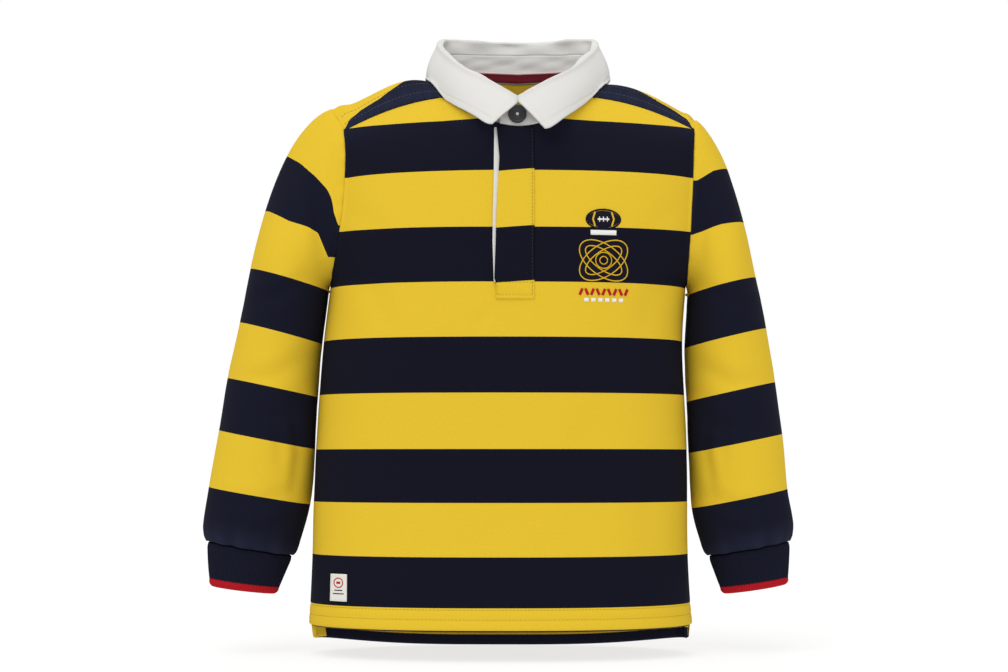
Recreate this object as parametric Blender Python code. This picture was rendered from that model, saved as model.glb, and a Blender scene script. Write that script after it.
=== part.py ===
"""Child's striped rugby shirt with a twill collar, filled out with no wearer.

Tables and sizes are in millimetres, meshes in metres. The origin is the middle of the neck on
the shoulder line, X runs to the viewer's right, Y to the back and Z up. "left" and "right" are
the viewer's. Every cloth piece is a wall: a grid of outer points, and the same grid moved in.
"""
import math

import bmesh
import bpy
from mathutils import Vector
from mathutils.bvhtree import BVHTree

MM = 0.001

# Cloth thicknesses and the clearance between neighbouring pieces
JERSEY = 1.5
HEM_WALL = 3.0
TWILL = 1.6
STRIP = 1.1
RIB_WALL = 2.2
SEAM_GAP = 0.3
SIDE_GAP = 0.5

# Grid sizes
COLUMNS = 24
RING_STEPS = 28
FRONT_STEPS = 12
SHOULDER_SPLIT = 0.03
CUFF_RIBS = 40

# Torso
UNDERARM = -157.0
BACK_SIDE_HEM = -437.0
BACK_DROP = 11.4
BACK_ALLOWANCE = 12.0
SQUARENESS = 2.5
# Armhole step where each panel's rows give way to lanes, and depth at the underarm and there
TURN_STEP = {-1: 8, 1: 20}
CHEST_DEPTH = {-1: (79.0, 70.0), 1: (71.0, 67.0)}
NECK_SHARE = 1.0 / 3.0
# Arch of the shoulder seam over the straight line, and fullness of the back over the shoulder
SEAM_ARCH = (0.0, 2.5, 5.0)
SHOULDER_FULL = {-1.0: 0.8, 1.0: 0.35}

# Torso sections: height, left side x, right side x, front depth, back depth
TORSO = (
    (-450.0, -161.0, 134.5, 81.0, 80.0),
    (-425.6, -164.6, 136.7, 81.0, 79.0),
    (-409.1, -164.7, 136.4, 80.0, 78.0),
    (-370.3, -163.4, 135.0, 79.0, 75.0),
    (-329.1, -162.8, 134.8, 78.0, 71.0),
    (-288.0, -161.4, 134.6, 78.0, 67.0),
    (-245.0, -158.8, 132.8, 79.0, 65.0),
    (-202.2, -155.4, 131.4, 80.0, 66.0),
    (-157.0, -150.0, 134.0, 79.0, 71.0),
)

# Rows of each panel in its hem's double cloth, and the stripe edges from the front hem up to the
# underarm
FRONT_HEM_ROWS = 3
BACK_HEM_ROWS = 2
FRONT_ROWS = (-425.6, -409.1, -370.3, -329.1, -288.0, -245.0, -202.2, -157.0)

# Armhole seams, from the underarm up the front to the shoulder seam, over the shoulder and
# down the back: step round the ring, x, y, z
ARMHOLES = {
    "left": (
        (0.0, -150.0, 0.0, -157.0),
        (2.3, -146.0, -24.0, -146.0),
        (4.8, -140.2, -36.0, -119.3),
        (8.5, -136.0, -32.0, -74.8),
        (12.0, -138.6, -20.0, -34.0),
        (14.3, -151.0, 2.0, -12.7),
        (16.7, -149.0, 23.0, -30.0),
        (20.1, -143.0, 36.0, -72.0),
        (23.4, -145.0, 38.0, -115.0),
        (26.0, -149.0, 24.0, -147.0),
    ),
    "right": (
        (0.0, 134.0, 0.0, -157.0),
        (2.3, 133.5, -24.0, -147.0),
        (4.8, 134.4, -36.0, -119.7),
        (8.5, 137.3, -32.0, -74.1),
        (12.0, 140.1, -20.0, -33.2),
        (14.3, 143.5, 2.0, -23.0),
        (16.7, 141.5, 23.0, -38.0),
        (20.1, 137.5, 36.0, -76.0),
        (23.4, 135.5, 38.0, -117.0),
        (26.0, 134.0, 24.0, -148.0),
    ),
}

# Front neckline, centre to shoulder seam: share, x, y, z, and the lane's run there
NECK_FRONT = (
    (0.00, 0.0, -62.0, -38.0, 0.0, 0.25, 1.00),
    (0.22, 14.0, -61.0, -35.5, 0.0, 0.25, 1.00),
    (0.50, 33.0, -53.5, -27.0, -0.1, 0.35, 0.95),
    (0.78, 49.0, -41.0, -17.5, -0.2, 0.50, 0.85),
    (1.00, 58.0, -27.0, -8.0, -0.3, 0.60, 0.80),
)

# Back neckline, centre to shoulder seam, in the same columns
NECK_BACK = (
    (0.00, 0.0, 46.0, 13.5, 0.0, -0.30, 0.90),
    (0.30, 34.0, 40.0, 14.5, -0.1, -0.45, 0.80),
    (0.58, 53.0, 22.0, 14.0, -0.4, -0.75, 0.40),
    (0.80, 58.0, -3.0, 8.5, -0.7, -0.85, -0.30),
    (1.00, 58.0, -27.0, -8.0, -0.5, -0.85, -1.10),
)

# Sleeve sections down from the underarm: step, outer x, outer z, inner x, inner z, half depth,
# centre y
SLEEVES = {
    "left": (
        (0.0, -215.0, -143.5, -152.0, -161.5, 42.0, 3.0),
        (1.0, -223.2, -186.4, -157.2, -203.8, 40.0, 4.0),
        (2.0, -232.4, -230.9, -160.6, -246.1, 38.0, 5.0),
        (3.0, -239.3, -272.6, -163.2, -287.6, 36.0, 5.0),
        (4.0, -246.9, -317.7, -166.4, -331.5, 33.5, 5.0),
        (4.7, -251.3, -347.5, -174.5, -363.0, 31.0, 5.0),
        (5.0, -249.6, -360.5, -178.6, -372.5, 28.5, 5.0),
    ),
    "right": (
        (0.0, 190.7, -150.6, 136.0, -164.5, 42.0, 3.0),
        (1.0, 199.0, -191.2, 133.6, -207.1, 40.0, 4.0),
        (2.0, 205.9, -234.1, 134.9, -249.8, 38.0, 5.0),
        (3.0, 211.3, -275.6, 136.7, -290.8, 36.0, 5.0),
        (4.0, 215.4, -319.3, 139.4, -334.5, 33.5, 5.0),
        (4.7, 219.7, -346.5, 146.5, -363.0, 31.0, 5.0),
        (5.0, 218.4, -360.5, 150.6, -372.5, 28.5, 5.0),
    ),
}

# Run of the sleeve cap as it leaves the armhole seam, and its clearance there
SLEEVE_LEAVE = {"left": (-0.76, 0.0, -0.40), "right": (0.62, 0.0, -0.55)}
CAP_GAP = 0.6
CHEST_MIDDLE = -110.0
CAP_ROWS = 6

# Cuff sections, top to bottom, in the sleeves' columns
CUFFS = {
    "left": (
        (0.0, -248.4, -361.4, -179.9, -373.4, 27.4, 5.0),
        (1.0, -247.6, -380.0, -187.0, -389.0, 24.0, 5.0),
        (2.0, -246.2, -396.2, -193.4, -402.8, 20.5, 5.0),
    ),
    "right": (
        (0.0, 217.2, -361.4, 151.9, -373.4, 27.4, 5.0),
        (1.0, 216.4, -380.0, 158.0, -389.0, 24.0, 5.0),
        (2.0, 215.6, -394.6, 163.8, -402.8, 20.5, 5.0),
    ),
}
RIB_HEIGHT = 0.5
CUFF_ROWS = 3

# Collar, front end to the middle of the back, for the right half: share, seam between stand and
# fall x, y, z, roll line x, y, z, fall edge x, y, z
COLLAR = (
    (0.00, 2.5, -60.5, -24.0, 3.5, -62.5, -14.5, 20.5, -75.0, -41.0),
    (0.05, 7.5, -58.5, -20.0, 9.0, -60.5, -9.5, 25.5, -72.5, -39.0),
    (0.14, 20.0, -51.0, -10.5, 22.0, -52.0, 0.5, 35.0, -64.0, -31.0),
    (0.26, 37.0, -36.0, 2.5, 40.0, -37.0, 12.5, 51.0, -45.0, -18.0),
    (0.40, 51.0, -15.0, 17.0, 55.0, -15.0, 27.5, 67.5, -17.0, -4.0),
    (0.54, 57.5, 5.0, 28.5, 63.0, 7.0, 41.5, 74.5, 3.0, 10.0),
    (0.67, 53.0, 25.0, 34.5, 57.0, 27.0, 48.5, 71.0, 28.0, 9.0),
    (0.82, 33.0, 39.5, 37.0, 35.0, 42.5, 50.5, 44.0, 53.0, 4.0),
    (1.00, 0.0, 45.5, 38.0, 0.0, 50.0, 49.5, 0.0, 62.5, 2.0),
)
COLLAR_COLUMNS = 28
FALL_ROWS = 6
FALL_BULGE = 2.0
FALL_STAND_OFF = 3.4
BROW_DROP = 4.0
COLLAR_GAP = 0.6
ROLL_CROWN = 2.2
FALL_CLEAR = 1.8
POINT_LEFT_RISE = 4.0
SKY = 300.0
LIFT_REACH = 12.0

# Stand: foot on the neckline, with the ends crossed at the front
STAND_ROWS = 3
STAND_CROSS = 0.05
STAND_LAYER = 3.4
CROSSED_DROP = 3.0
BACK_OF_NECK = 0.55

# Placket, on the front panel: x of the free edge and of the stitched edge, foot height
PLACKET_FREE = -16.2
PLACKET_STITCHED = 12.2
PLACKET_FOOT = -172.8
PLACKET_HEAD = -40.5
PLACKET_ROWS = 10
UNDER_SHOW = 3.6
UNDER_FOOT = -160.0

# Button at the stand
BUTTON_X = -0.7
BUTTON_Z = -28.5
BUTTON_CLEAR = 0.45
BUTTON_RADIUS = 7.2
# Turned profile of the button: radius share, height over its back
BUTTON_PROFILE = (
    (0.0, 0.0),
    (0.86, 0.0),
    (1.0, 0.9),
    (1.0, 1.9),
    (0.88, 2.5),
    (0.76, 2.1),
    (0.5, 1.7),
    (0.42, 2.2),
    (0.0, 2.4),
)
BUTTON_SIDES = 24

# Neck tape, hem label and vent facings
TAPE_WALL = 0.7
TAPE_LOW = 0.03
TAPE_HIGH = 0.31
TAPE_FROM = 7
LABEL = {"left": -145.9, "right": -132.5, "top": -384.5, "foot": -405.0}
LABEL_WALL = 0.8
VENT_TOP = -399.0
VENT_FOOT = -423.0
TORSO_MIDDLE = -14.0

COLOURS = {
    "yellow": (0.80, 0.53, 0.03, 1.0),
    "navy": (0.008, 0.010, 0.022, 1.0),
    "white": (0.82, 0.81, 0.78, 1.0),
    "burgundy": (0.16, 0.012, 0.022, 1.0),
    "label": (0.72, 0.70, 0.64, 1.0),
    "button": (0.035, 0.035, 0.038, 1.0),
}
ROUGHNESS = {"button": 0.35}
CLOTH_ROUGHNESS = 0.9


def clear_scene():
    for item in list(bpy.data.objects):
        bpy.data.objects.remove(item, do_unlink=True)


def spline(rows, key, period=None):
    """Row of a table at a key: a smooth curve through its rows, whose first column is the key."""
    rows = list(rows)
    if period:
        first = rows[0]
        before = (rows[-1][0] - period,) + tuple(rows[-1][1:])
        after = (first[0] + period,) + tuple(first[1:])
        second = (rows[1][0] + period,) + tuple(rows[1][1:])
        rows = [before] + rows + [after, second]
        key = key % period
    last = len(rows) - 1
    at = 0
    while at < last - 1 and key > rows[at + 1][0]:
        at += 1
    span = rows[at + 1][0] - rows[at][0]
    share = (key - rows[at][0]) / span
    share = min(max(share, 0.0), 1.0)

    def slope(index, column):
        low = max(index - 1, 0)
        high = min(index + 1, last)
        return (rows[high][column] - rows[low][column]) / (rows[high][0] - rows[low][0])

    values = []
    for column in range(1, len(rows[0])):
        start = rows[at][column]
        end = rows[at + 1][column]
        values.append(hermite(start, end, slope(at, column) * span,
                              slope(at + 1, column) * span, share))
    return values


def hermite(start, end, leave, arrive, share):
    """Cubic from start to end, leaving and arriving with the given runs."""
    square = share * share
    cube = square * share
    return (start * (2 * cube - 3 * square + 1) + leave * (cube - 2 * square + share)
            + end * (3 * square - 2 * cube) + arrive * (cube - square))


def torso_point(height, t, side):
    """Point on the torso: t from -1 at the left side to 1 at the right, side -1 front, 1 back."""
    left, right, front, back = spline(TORSO, height)
    across = math.sin(t * math.pi / 2)
    depth = back if side > 0 else front
    bow = math.sqrt(max(1.0 - abs(across) ** SQUARENESS, 0.0))
    return Vector(((left + right) / 2 + (right - left) / 2 * across, side * depth * bow, height))


def armhole_point(side, step):
    return Vector(spline(ARMHOLES[side], step, RING_STEPS))


def top_edge(t, table):
    """Point of a panel's top edge and the run of its lane there: neckline, then shoulder seam."""
    reach = abs(t)
    mirror = math.copysign(1.0, t)
    if reach <= NECK_SHARE:
        x, y, z, run_x, run_y, run_z = spline(table, reach / NECK_SHARE)
        return Vector((x * mirror, y, z)), Vector((run_x * mirror, run_y, run_z))
    x, y, z, run_x, run_y, run_z = table[-1][1:]
    corner = armhole_point("left" if t < 0 else "right", FRONT_STEPS)
    even = (reach - NECK_SHARE) / (1.0 - NECK_SHARE)
    turned = (math.sin(reach * math.pi / 2) - 0.5) / 0.5
    share = (even + turned) / 2
    arch = 4.0 * share * (1.0 - share)
    run_x *= mirror * (1.0 - share) ** 2
    if table is NECK_BACK:
        run_z -= SHOULDER_FULL[mirror] * arch
    place = Vector((x * mirror, y, z)).lerp(corner, share) + Vector(SEAM_ARCH) * arch
    return place, Vector((run_x, run_y, run_z))


def chest_point(t, step, side):
    """Point between the underarm row and the row where the lanes to the top edge start."""
    left = armhole_point("left", step)
    right = armhole_point("right", step)
    edge = left if t < 0 else right
    climbed = step / TURN_STEP[side]
    if side > 0:
        climbed = (RING_STEPS - step) / (RING_STEPS - TURN_STEP[side])
    middle = (left + right) / 2
    low, high = CHEST_DEPTH[side]
    depth = low + (high - low) * climbed ** 1.7
    reach = (1.0 - (edge.y / depth) ** 2) ** (1.0 / SQUARENESS)
    across = math.sin(abs(t) * math.asin(reach))
    bow = math.sqrt(max(1.0 - across ** SQUARENESS, 0.0))
    out = across / reach
    return Vector((middle.x + (edge.x - middle.x) * out, side * depth * bow,
                   middle.z + (edge.z - middle.z) * out ** 2))


def lane_point(t, share, side):
    """Point on the lane that climbs from the turning row to the panel's top edge."""
    start = chest_point(t, TURN_STEP[side], side)
    end, run = top_edge(t, NECK_BACK if side > 0 else NECK_FRONT)
    length = (end - start).length
    rise = start - chest_point(t, TURN_STEP[side] + side, side)
    return hermite(start, end, rise.normalized() * length, run * length, share)


def panel_point(t, step, side):
    """Point above the underarm: the chest rows, then the lanes, eased to the armhole seam."""
    climbed = (step - TURN_STEP[side]) / (FRONT_STEPS - TURN_STEP[side])
    if climbed <= 0.0:
        return chest_point(t, step, side)
    edge = "left" if t < 0 else "right"
    miss = armhole_point(edge, step) - lane_point(math.copysign(1.0, t), climbed, side)
    return lane_point(t, climbed, side) + miss * abs(t) ** 5


def column_values(count):
    return [2.0 * index / count - 1.0 for index in range(count + 1)]


def halved(values):
    """The values with the middle of each pair added."""
    out = [values[0]]
    for low, high in zip(values, values[1:]):
        out += [(low + high) / 2, high]
    return out


def front_grid():
    rows = []
    for height in halved(FRONT_ROWS):
        rows.append([torso_point(height, t, -1) for t in column_values(COLUMNS)])
    for step in range(1, FRONT_STEPS + 1):
        end = step - SHOULDER_SPLIT if step == FRONT_STEPS else step
        rows.append([panel_point(t, end, -1) for t in column_values(COLUMNS)])
    for row in rows[:len(halved(FRONT_ROWS))]:
        row[0].y -= SIDE_GAP
        row[-1].y -= SIDE_GAP
    return rows


def back_hem(t):
    return BACK_SIDE_HEM - BACK_DROP * (1.0 - abs(math.sin(t * math.pi / 2)) ** 3)


def back_grid():
    heights = halved(FRONT_ROWS[1:])
    rows = []
    for rise in (0.0, BACK_ALLOWANCE):
        rows.append([torso_point(back_hem(t) + rise, t, 1) for t in column_values(COLUMNS)])
    for height in heights:
        rows.append([torso_point(height, t, 1) for t in column_values(COLUMNS)])
    side_rows = len(rows)
    for step in range(RING_STEPS - 1, FRONT_STEPS - 1, -1):
        end = step + SHOULDER_SPLIT if step == FRONT_STEPS else step
        rows.append([panel_point(t, end, 1) for t in column_values(COLUMNS)])
    for row in rows[:side_rows]:
        row[0].y += SIDE_GAP
        row[-1].y += SIDE_GAP
    return rows


def ring_point(table, step, around):
    """Point on a sleeve or cuff section: around 0 at the inner side, a quarter at the front."""
    outer_x, outer_z, inner_x, inner_z, depth, centre_y = spline(table, step)
    outer = Vector((outer_x, centre_y, outer_z))
    inner = Vector((inner_x, centre_y, inner_z))
    turn = around * 2 * math.pi
    middle = (outer + inner) / 2
    return middle - (outer - inner) / 2 * math.cos(turn) + Vector((0, -depth * math.sin(turn), 0))


def cap_point(side, step, share):
    """Point of the sleeve cap on its run from the armhole seam to the first full section."""
    table = SLEEVES[side]
    around = step / RING_STEPS
    run = Vector(SLEEVE_LEAVE[side])
    start = armhole_point(side, step) + run * CAP_GAP
    end = ring_point(table, 0.0, around)
    along = (ring_point(table, 0.6, around) - end).normalized()
    length = (end - start).length
    return hermite(start, end, run * length, along * length, share)


def seam_way(side, step):
    """Way into the cloth at the armhole seam, shared by the panel and the sleeve."""
    here = armhole_point(side, step)
    seam = armhole_point(side, step + 0.3) - armhole_point(side, step - 0.3)
    t = 0.92 if side == "right" else -0.92
    panel = panel_point(t, step, -1 if step <= FRONT_STEPS else 1) - here
    sleeve = cap_point(side, step, 0.12) - here
    torso_middle = Vector((0.0, 0.0, CHEST_MIDDLE))
    cap_middle = (here + ring_point(SLEEVES[side], 0.0, 0.5)) / 2
    cap_middle.y = 0.0
    way = Vector((0, 0, 0))
    for cloth, middle in ((panel, torso_middle), (sleeve, cap_middle)):
        normal = seam.cross(cloth).normalized()
        way -= normal if normal.dot(here - middle) > 0 else -normal
    return way.normalized()


def sleeve_grid(side):
    """Cap from the armhole seam to the first full section, then the sections to the cuff."""
    table = SLEEVES[side]
    rows = []
    for row_index in range(CAP_ROWS):
        share = row_index / CAP_ROWS
        rows.append([cap_point(side, step, share) for step in range(RING_STEPS)])
    for step in (0.0, 0.5, 1.0, 1.5, 2.0, 2.5, 3.0, 3.5, 4.0, 4.4, 4.7, 4.88, 5.0):
        rows.append([ring_point(table, step, k / RING_STEPS) for k in range(RING_STEPS)])
    return rows


def cuff_grid(side):
    """Ribbed tube: every second column stands proud."""
    table = CUFFS[side]
    columns = CUFF_RIBS * 2
    rows = []
    for row_index in range(CUFF_ROWS + 1):
        step = 2.0 * row_index / CUFF_ROWS
        centre = (ring_point(table, step, 0.0) + ring_point(table, step, 0.5)) / 2
        row = []
        for column in range(columns):
            point = ring_point(table, step, column / columns)
            raised = RIB_HEIGHT if column % 2 == 0 else 0.0
            row.append(point + (point - centre).normalized() * raised)
        rows.append(row)
    return rows


def collar_station(share):
    """Seam, roll and edge points at a share from the left front end (0) to the right one (1)."""
    half = abs(share * 2.0 - 1.0)
    mirror = 1.0 if share > 0.5 else -1.0
    values = spline(COLLAR, 1.0 - half)
    points = []
    for first in (0, 3, 6):
        x, y, z = values[first:first + 3]
        points.append(Vector((x * mirror, y, z)))
    if mirror < 0:
        points[2].z += POINT_LEFT_RISE * max(0.0, (half - 0.7) / 0.3)
    layer = front_layer(share) * out_of_neck(points[0])
    return [point + layer for point in points]


def front_layer(share):
    """How far the collar's ends part, the right one over the left one."""
    near_front = min(max((abs(share * 2.0 - 1.0) - 0.74) / 0.14, 0.0), 1.0)
    return near_front * STAND_LAYER / 2 * (1.0 if share > 0.5 else -1.0)


def out_of_neck(point):
    """Level direction away from the neck's middle."""
    return Vector((point.x, point.y + 8.0, 0.0)).normalized()


def rest_on(point, carrier, clearance):
    """The point, lifted to clear the cloth that carries it."""
    place, normal = carrier.ray_cast(Vector((point.x, point.y, SKY)), Vector((0, 0, -1)))[:2]
    if place is None or place.z < point.z - LIFT_REACH:
        return point
    lift = place.z + clearance / max(abs(normal.z), 0.5)
    return Vector((point.x, point.y, max(point.z, lift)))


def fall_grid(carrier):
    """Fall of the collar: up from the stand seam, over the roll and down to its edge."""
    lines = []
    for index in range(COLLAR_COLUMNS + 1):
        seam, roll, edge = collar_station(index / COLLAR_COLUMNS)
        outward = out_of_neck(roll)
        brow = roll + outward * FALL_STAND_OFF - Vector((0, 0, BROW_DROP))
        line = [seam + Vector((0, 0, COLLAR_GAP)), seam.lerp(roll, 0.6) - outward * ROLL_CROWN / 2,
                roll - outward * ROLL_CROWN - Vector((0, 0, ROLL_CROWN / 2)),
                roll + outward * ROLL_CROWN]
        for row in range(FALL_ROWS + 1):
            share = row / FALL_ROWS
            point = brow.lerp(edge, share) + outward * FALL_BULGE * math.sin(math.pi * share)
            line.append(rest_on(point, carrier, TWILL + FALL_CLEAR))
        lines.append(line)
    return [list(row) for row in zip(*lines)]


def neckline(share):
    """Neckline point from the left front (0) by the back (0.5) to the right front (1)."""
    half = abs(share * 2.0 - 1.0)
    mirror = 1.0 if share > 0.5 else -1.0
    if half > 1.0:
        half = 2.0 - half
        mirror = -mirror
    if half < BACK_OF_NECK:
        x, y, z = spline(NECK_BACK, half / BACK_OF_NECK)[:3]
    else:
        x, y, z = spline(NECK_FRONT, (1.0 - half) / (1.0 - BACK_OF_NECK))[:3]
    return Vector((x * mirror, y, z))


def stand_point(share, rise):
    """Outer face of the stand. Past the front centre the right end crosses over the left."""
    foot = neckline(share)
    beyond = max(-share, share - 1.0, 0.0)
    inside = min(max(share, 0.0), 1.0)
    head = collar_station(inside + (beyond if share < 0 else -beyond))[0]
    if beyond:
        head = Vector((-head.x, head.y, head.z - CROSSED_DROP))
    outward = out_of_neck(foot)
    foot = foot + Vector((0, 0, SEAM_GAP * 2)) + outward * (front_layer(share) - SEAM_GAP)
    return foot.lerp(head + outward * TWILL, rise)


def stand_grid():
    """Stand of the collar: a band from the neckline up to the fall's seam."""
    crossed = [-STAND_CROSS, -STAND_CROSS / 2]
    shares = crossed + [index / COLLAR_COLUMNS for index in range(COLLAR_COLUMNS + 1)]
    shares += [1.0 - share for share in reversed(crossed)]
    return [[stand_point(share, row / STAND_ROWS) for share in shares]
            for row in range(STAND_ROWS + 1)]


def tape_grid():
    """Tape along the foot of the stand, on the neck's side."""
    rows = []
    for rise in (TAPE_LOW, TAPE_HIGH):
        line = []
        for index in range(TAPE_FROM, COLLAR_COLUMNS - TAPE_FROM + 1):
            point = stand_point(index / COLLAR_COLUMNS, rise)
            line.append(point - out_of_neck(point) * (TWILL + SEAM_GAP + TAPE_WALL))
        rows.append(line)
    return rows


def on_front(carrier, x, z, lift):
    """Point over the front panel at x and z, clear of it by the lift."""
    place, normal = carrier.ray_cast(Vector((x, -SKY, z)), Vector((0, 1, 0)))[:2]
    return place + Vector((0, -lift / max(abs(normal.y), 0.4), 0))


def strip_grid(carrier, lefts, rights, heights, lift, columns):
    """Strip on the front panel, with its left and right x at each height."""
    rows = []
    for left, right, height in zip(lefts, rights, heights):
        row = []
        for index in range(columns + 1):
            x = left + (right - left) * index / columns
            row.append(on_front(carrier, x, height, lift))
        rows.append(row)
    return rows


def stepped(low, high, count):
    return [low + (high - low) * index / count for index in range(count + 1)]


def vent_grid(side):
    """Turned edge on the inside of the back panel beside a vent."""
    mirror = -1.0 if side == "left" else 1.0
    rows = []
    for height in stepped(VENT_FOOT, VENT_TOP, 3):
        row = []
        outer = torso_point(height, mirror, 1)
        inner = torso_point(height, mirror * (1.0 - 2.0 / COLUMNS), 1)
        for share in (0.0, 0.4, 0.8):
            point = outer.lerp(inner, share)
            inward = Vector((TORSO_MIDDLE - point.x, -point.y, 0.0)).normalized()
            climbed = (height - VENT_FOOT) / (VENT_TOP - VENT_FOOT)
            clear = HEM_WALL + (JERSEY - HEM_WALL) * climbed + SIDE_GAP + SEAM_GAP
            row.append(point + inward * clear + Vector((0, SIDE_GAP, 0)))
        rows.append(row)
    return rows


def grid_normals(grid, closed):
    """Unit normals of a grid, all on one side, from its neighbours along and across."""
    height = len(grid)
    width = len(grid[0])
    normals = []
    for i in range(height):
        line = []
        for j in range(width):
            low = (j - 1) % width if closed else max(j - 1, 0)
            high = (j + 1) % width if closed else min(j + 1, width - 1)
            across = grid[i][high] - grid[i][low]
            along = grid[min(i + 1, height - 1)][j] - grid[max(i - 1, 0)][j]
            line.append(across.cross(along).normalized())
        normals.append(line)
    return normals


def wall(name, grid, thickness, colour, closed=False, flip=False, ways=None):
    """Closed cloth wall under a grid of outer points; thickness is a number or one per row.

    ways gives the way in at some points, by row and column, where pieces meet edge to edge.
    """
    normals = grid_normals(grid, closed)
    height = len(grid)
    width = len(grid[0])
    sign = 1.0 if flip else -1.0
    depths = thickness if isinstance(thickness, list) else [thickness] * height
    mesh = bmesh.new()
    outer = [[mesh.verts.new(p * MM) for p in row] for row in grid]
    inner = []
    for i in range(height):
        row = []
        for j in range(width):
            way = (ways or {}).get((i, j), normals[i][j] * sign)
            row.append(mesh.verts.new((grid[i][j] + way * depths[i]) * MM))
        inner.append(row)
    spans = width if closed else width - 1
    for i in range(height - 1):
        for j in range(spans):
            k = (j + 1) % width
            mesh.faces.new((outer[i][j], outer[i][k], outer[i + 1][k], outer[i + 1][j]))
            mesh.faces.new((inner[i][j], inner[i + 1][j], inner[i + 1][k], inner[i][k]))
    for i in (0, height - 1):
        for j in range(spans):
            k = (j + 1) % width
            mesh.faces.new((outer[i][j], outer[i][k], inner[i][k], inner[i][j]))
    if not closed:
        for j in (0, width - 1):
            for i in range(height - 1):
                mesh.faces.new((outer[i][j], outer[i + 1][j], inner[i + 1][j], inner[i][j]))
    bmesh.ops.recalc_face_normals(mesh, faces=mesh.faces)
    return add_object(name, mesh, colour)


def button_solid(name, carrier, colour):
    """Turned button on the stand, closed by spinning its profile round its axis."""
    mesh = bmesh.new()
    rings = []
    for share, height in BUTTON_PROFILE:
        if share == 0.0:
            rings.append([mesh.verts.new(Vector((0, 0, height)) * MM)])
            continue
        ring = []
        for index in range(BUTTON_SIDES):
            turn = 2 * math.pi * index / BUTTON_SIDES
            radius = share * BUTTON_RADIUS
            place = Vector((radius * math.cos(turn), radius * math.sin(turn), height))
            ring.append(mesh.verts.new(place * MM))
        rings.append(ring)
    for low, high in zip(rings, rings[1:]):
        for index in range(BUTTON_SIDES):
            after = (index + 1) % BUTTON_SIDES
            corners = [low[index % len(low)], low[after % len(low)],
                       high[after % len(high)], high[index % len(high)]]
            mesh.faces.new(list(dict.fromkeys(corners)))
    bmesh.ops.recalc_face_normals(mesh, faces=mesh.faces)
    item = add_object(name, mesh, colour)
    place, normal = carrier.ray_cast(Vector((BUTTON_X, -SKY, BUTTON_Z)), Vector((0, 1, 0)))[:2]
    facing = normal if normal.y < 0 else -normal
    item.rotation_euler = facing.to_track_quat("Z", "Y").to_euler()
    item.location = (place + facing * BUTTON_CLEAR) * MM
    return item


def add_object(name, mesh, colour):
    data = bpy.data.meshes.new(name)
    mesh.to_mesh(data)
    mesh.free()
    data.shade_smooth()
    data.set_sharp_from_angle(angle=math.radians(50))
    data.materials.append(finish(colour))
    item = bpy.data.objects.new(name, data)
    bpy.context.scene.collection.objects.link(item)
    return item


def finish(colour):
    material = bpy.data.materials.get(colour)
    if material:
        return material
    material = bpy.data.materials.new(colour)
    material.use_nodes = True
    shader = material.node_tree.nodes["Principled BSDF"]
    shader.inputs["Base Color"].default_value = COLOURS[colour]
    shader.inputs["Roughness"].default_value = ROUGHNESS.get(colour, CLOTH_ROUGHNESS)
    return material


def surface_of(grids):
    """Search tree over open grids of points."""
    points = []
    faces = []
    for grid in grids:
        base = len(points)
        width = len(grid[0])
        for row in grid:
            points += row
        for i in range(len(grid) - 1):
            for j in range(width - 1):
                at = base + i * width + j
                faces.append((at, at + 1, at + width + 1, at + width))
    return BVHTree.FromPolygons(points, faces)


def build_body(front, back):
    front_walls = [HEM_WALL] * FRONT_HEM_ROWS + [JERSEY] * (len(front) - FRONT_HEM_ROWS)
    back_walls = [HEM_WALL] * BACK_HEM_ROWS + [JERSEY] * (len(back) - BACK_HEM_ROWS)
    front_top, back_top = top_ways(front, back)
    wall("front", front, front_walls, "yellow", ways=front_top | armhole_ways(front, -1))
    wall("back", back, back_walls, "navy", flip=True, ways=back_top | armhole_ways(back, 1))


def top_ways(front, back):
    """Ways in along the panels' top rows, the same for both on the shoulder seams."""
    front_last = len(front) - 1
    back_last = len(back) - 1
    front_normals = grid_normals(front, False)[front_last - 1]
    back_normals = grid_normals(back, False)[back_last - 1]
    front_ways = {}
    back_ways = {}
    for j, t in enumerate(column_values(COLUMNS)):
        front_way = -front_normals[j]
        back_way = back_normals[j]
        if abs(t) > NECK_SHARE + 0.01:
            front_way = back_way = (front_way + back_way).normalized()
        front_ways[front_last, j] = front_way
        back_ways[back_last, j] = back_way
    return front_ways, back_ways


def armhole_ways(grid, side):
    """Ways in along a panel's armhole edges."""
    steps = FRONT_STEPS if side < 0 else RING_STEPS - FRONT_STEPS
    ways = {}
    for index in range(1, steps + 1):
        i = len(grid) - 1 - steps + index
        step = index if side < 0 else RING_STEPS - index
        ways[i, 0] = seam_way("left", step)
        ways[i, COLUMNS] = seam_way("right", step)
    return ways


def build_sleeves():
    for side in ("left", "right"):
        flip = side == "right"
        ways = {(0, step): seam_way(side, step) for step in range(1, RING_STEPS)}
        wall("sleeve_" + side, sleeve_grid(side), JERSEY, "yellow", closed=True, flip=flip, ways=ways)
        wall("cuff_" + side, cuff_grid(side), RIB_WALL, "navy", closed=True, flip=flip)


def build_collar(carrier):
    """Collar and neck tape, and the button, which sits on the stand."""
    fall = fall_grid(carrier)
    stand = stand_grid()
    fall_ways = {(0, j): out_of_neck(point) for j, point in enumerate(fall[0])}
    stand_ways = {(STAND_ROWS, j): -out_of_neck(point) for j, point in enumerate(stand[-1])}
    wall("collar_fall", fall, TWILL, "white", ways=fall_ways)
    wall("collar_stand", stand, TWILL, "white", flip=True, ways=stand_ways)
    wall("neck_tape", tape_grid(), TAPE_WALL, "burgundy")
    button_solid("button", surface_of([stand]), "button")


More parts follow.
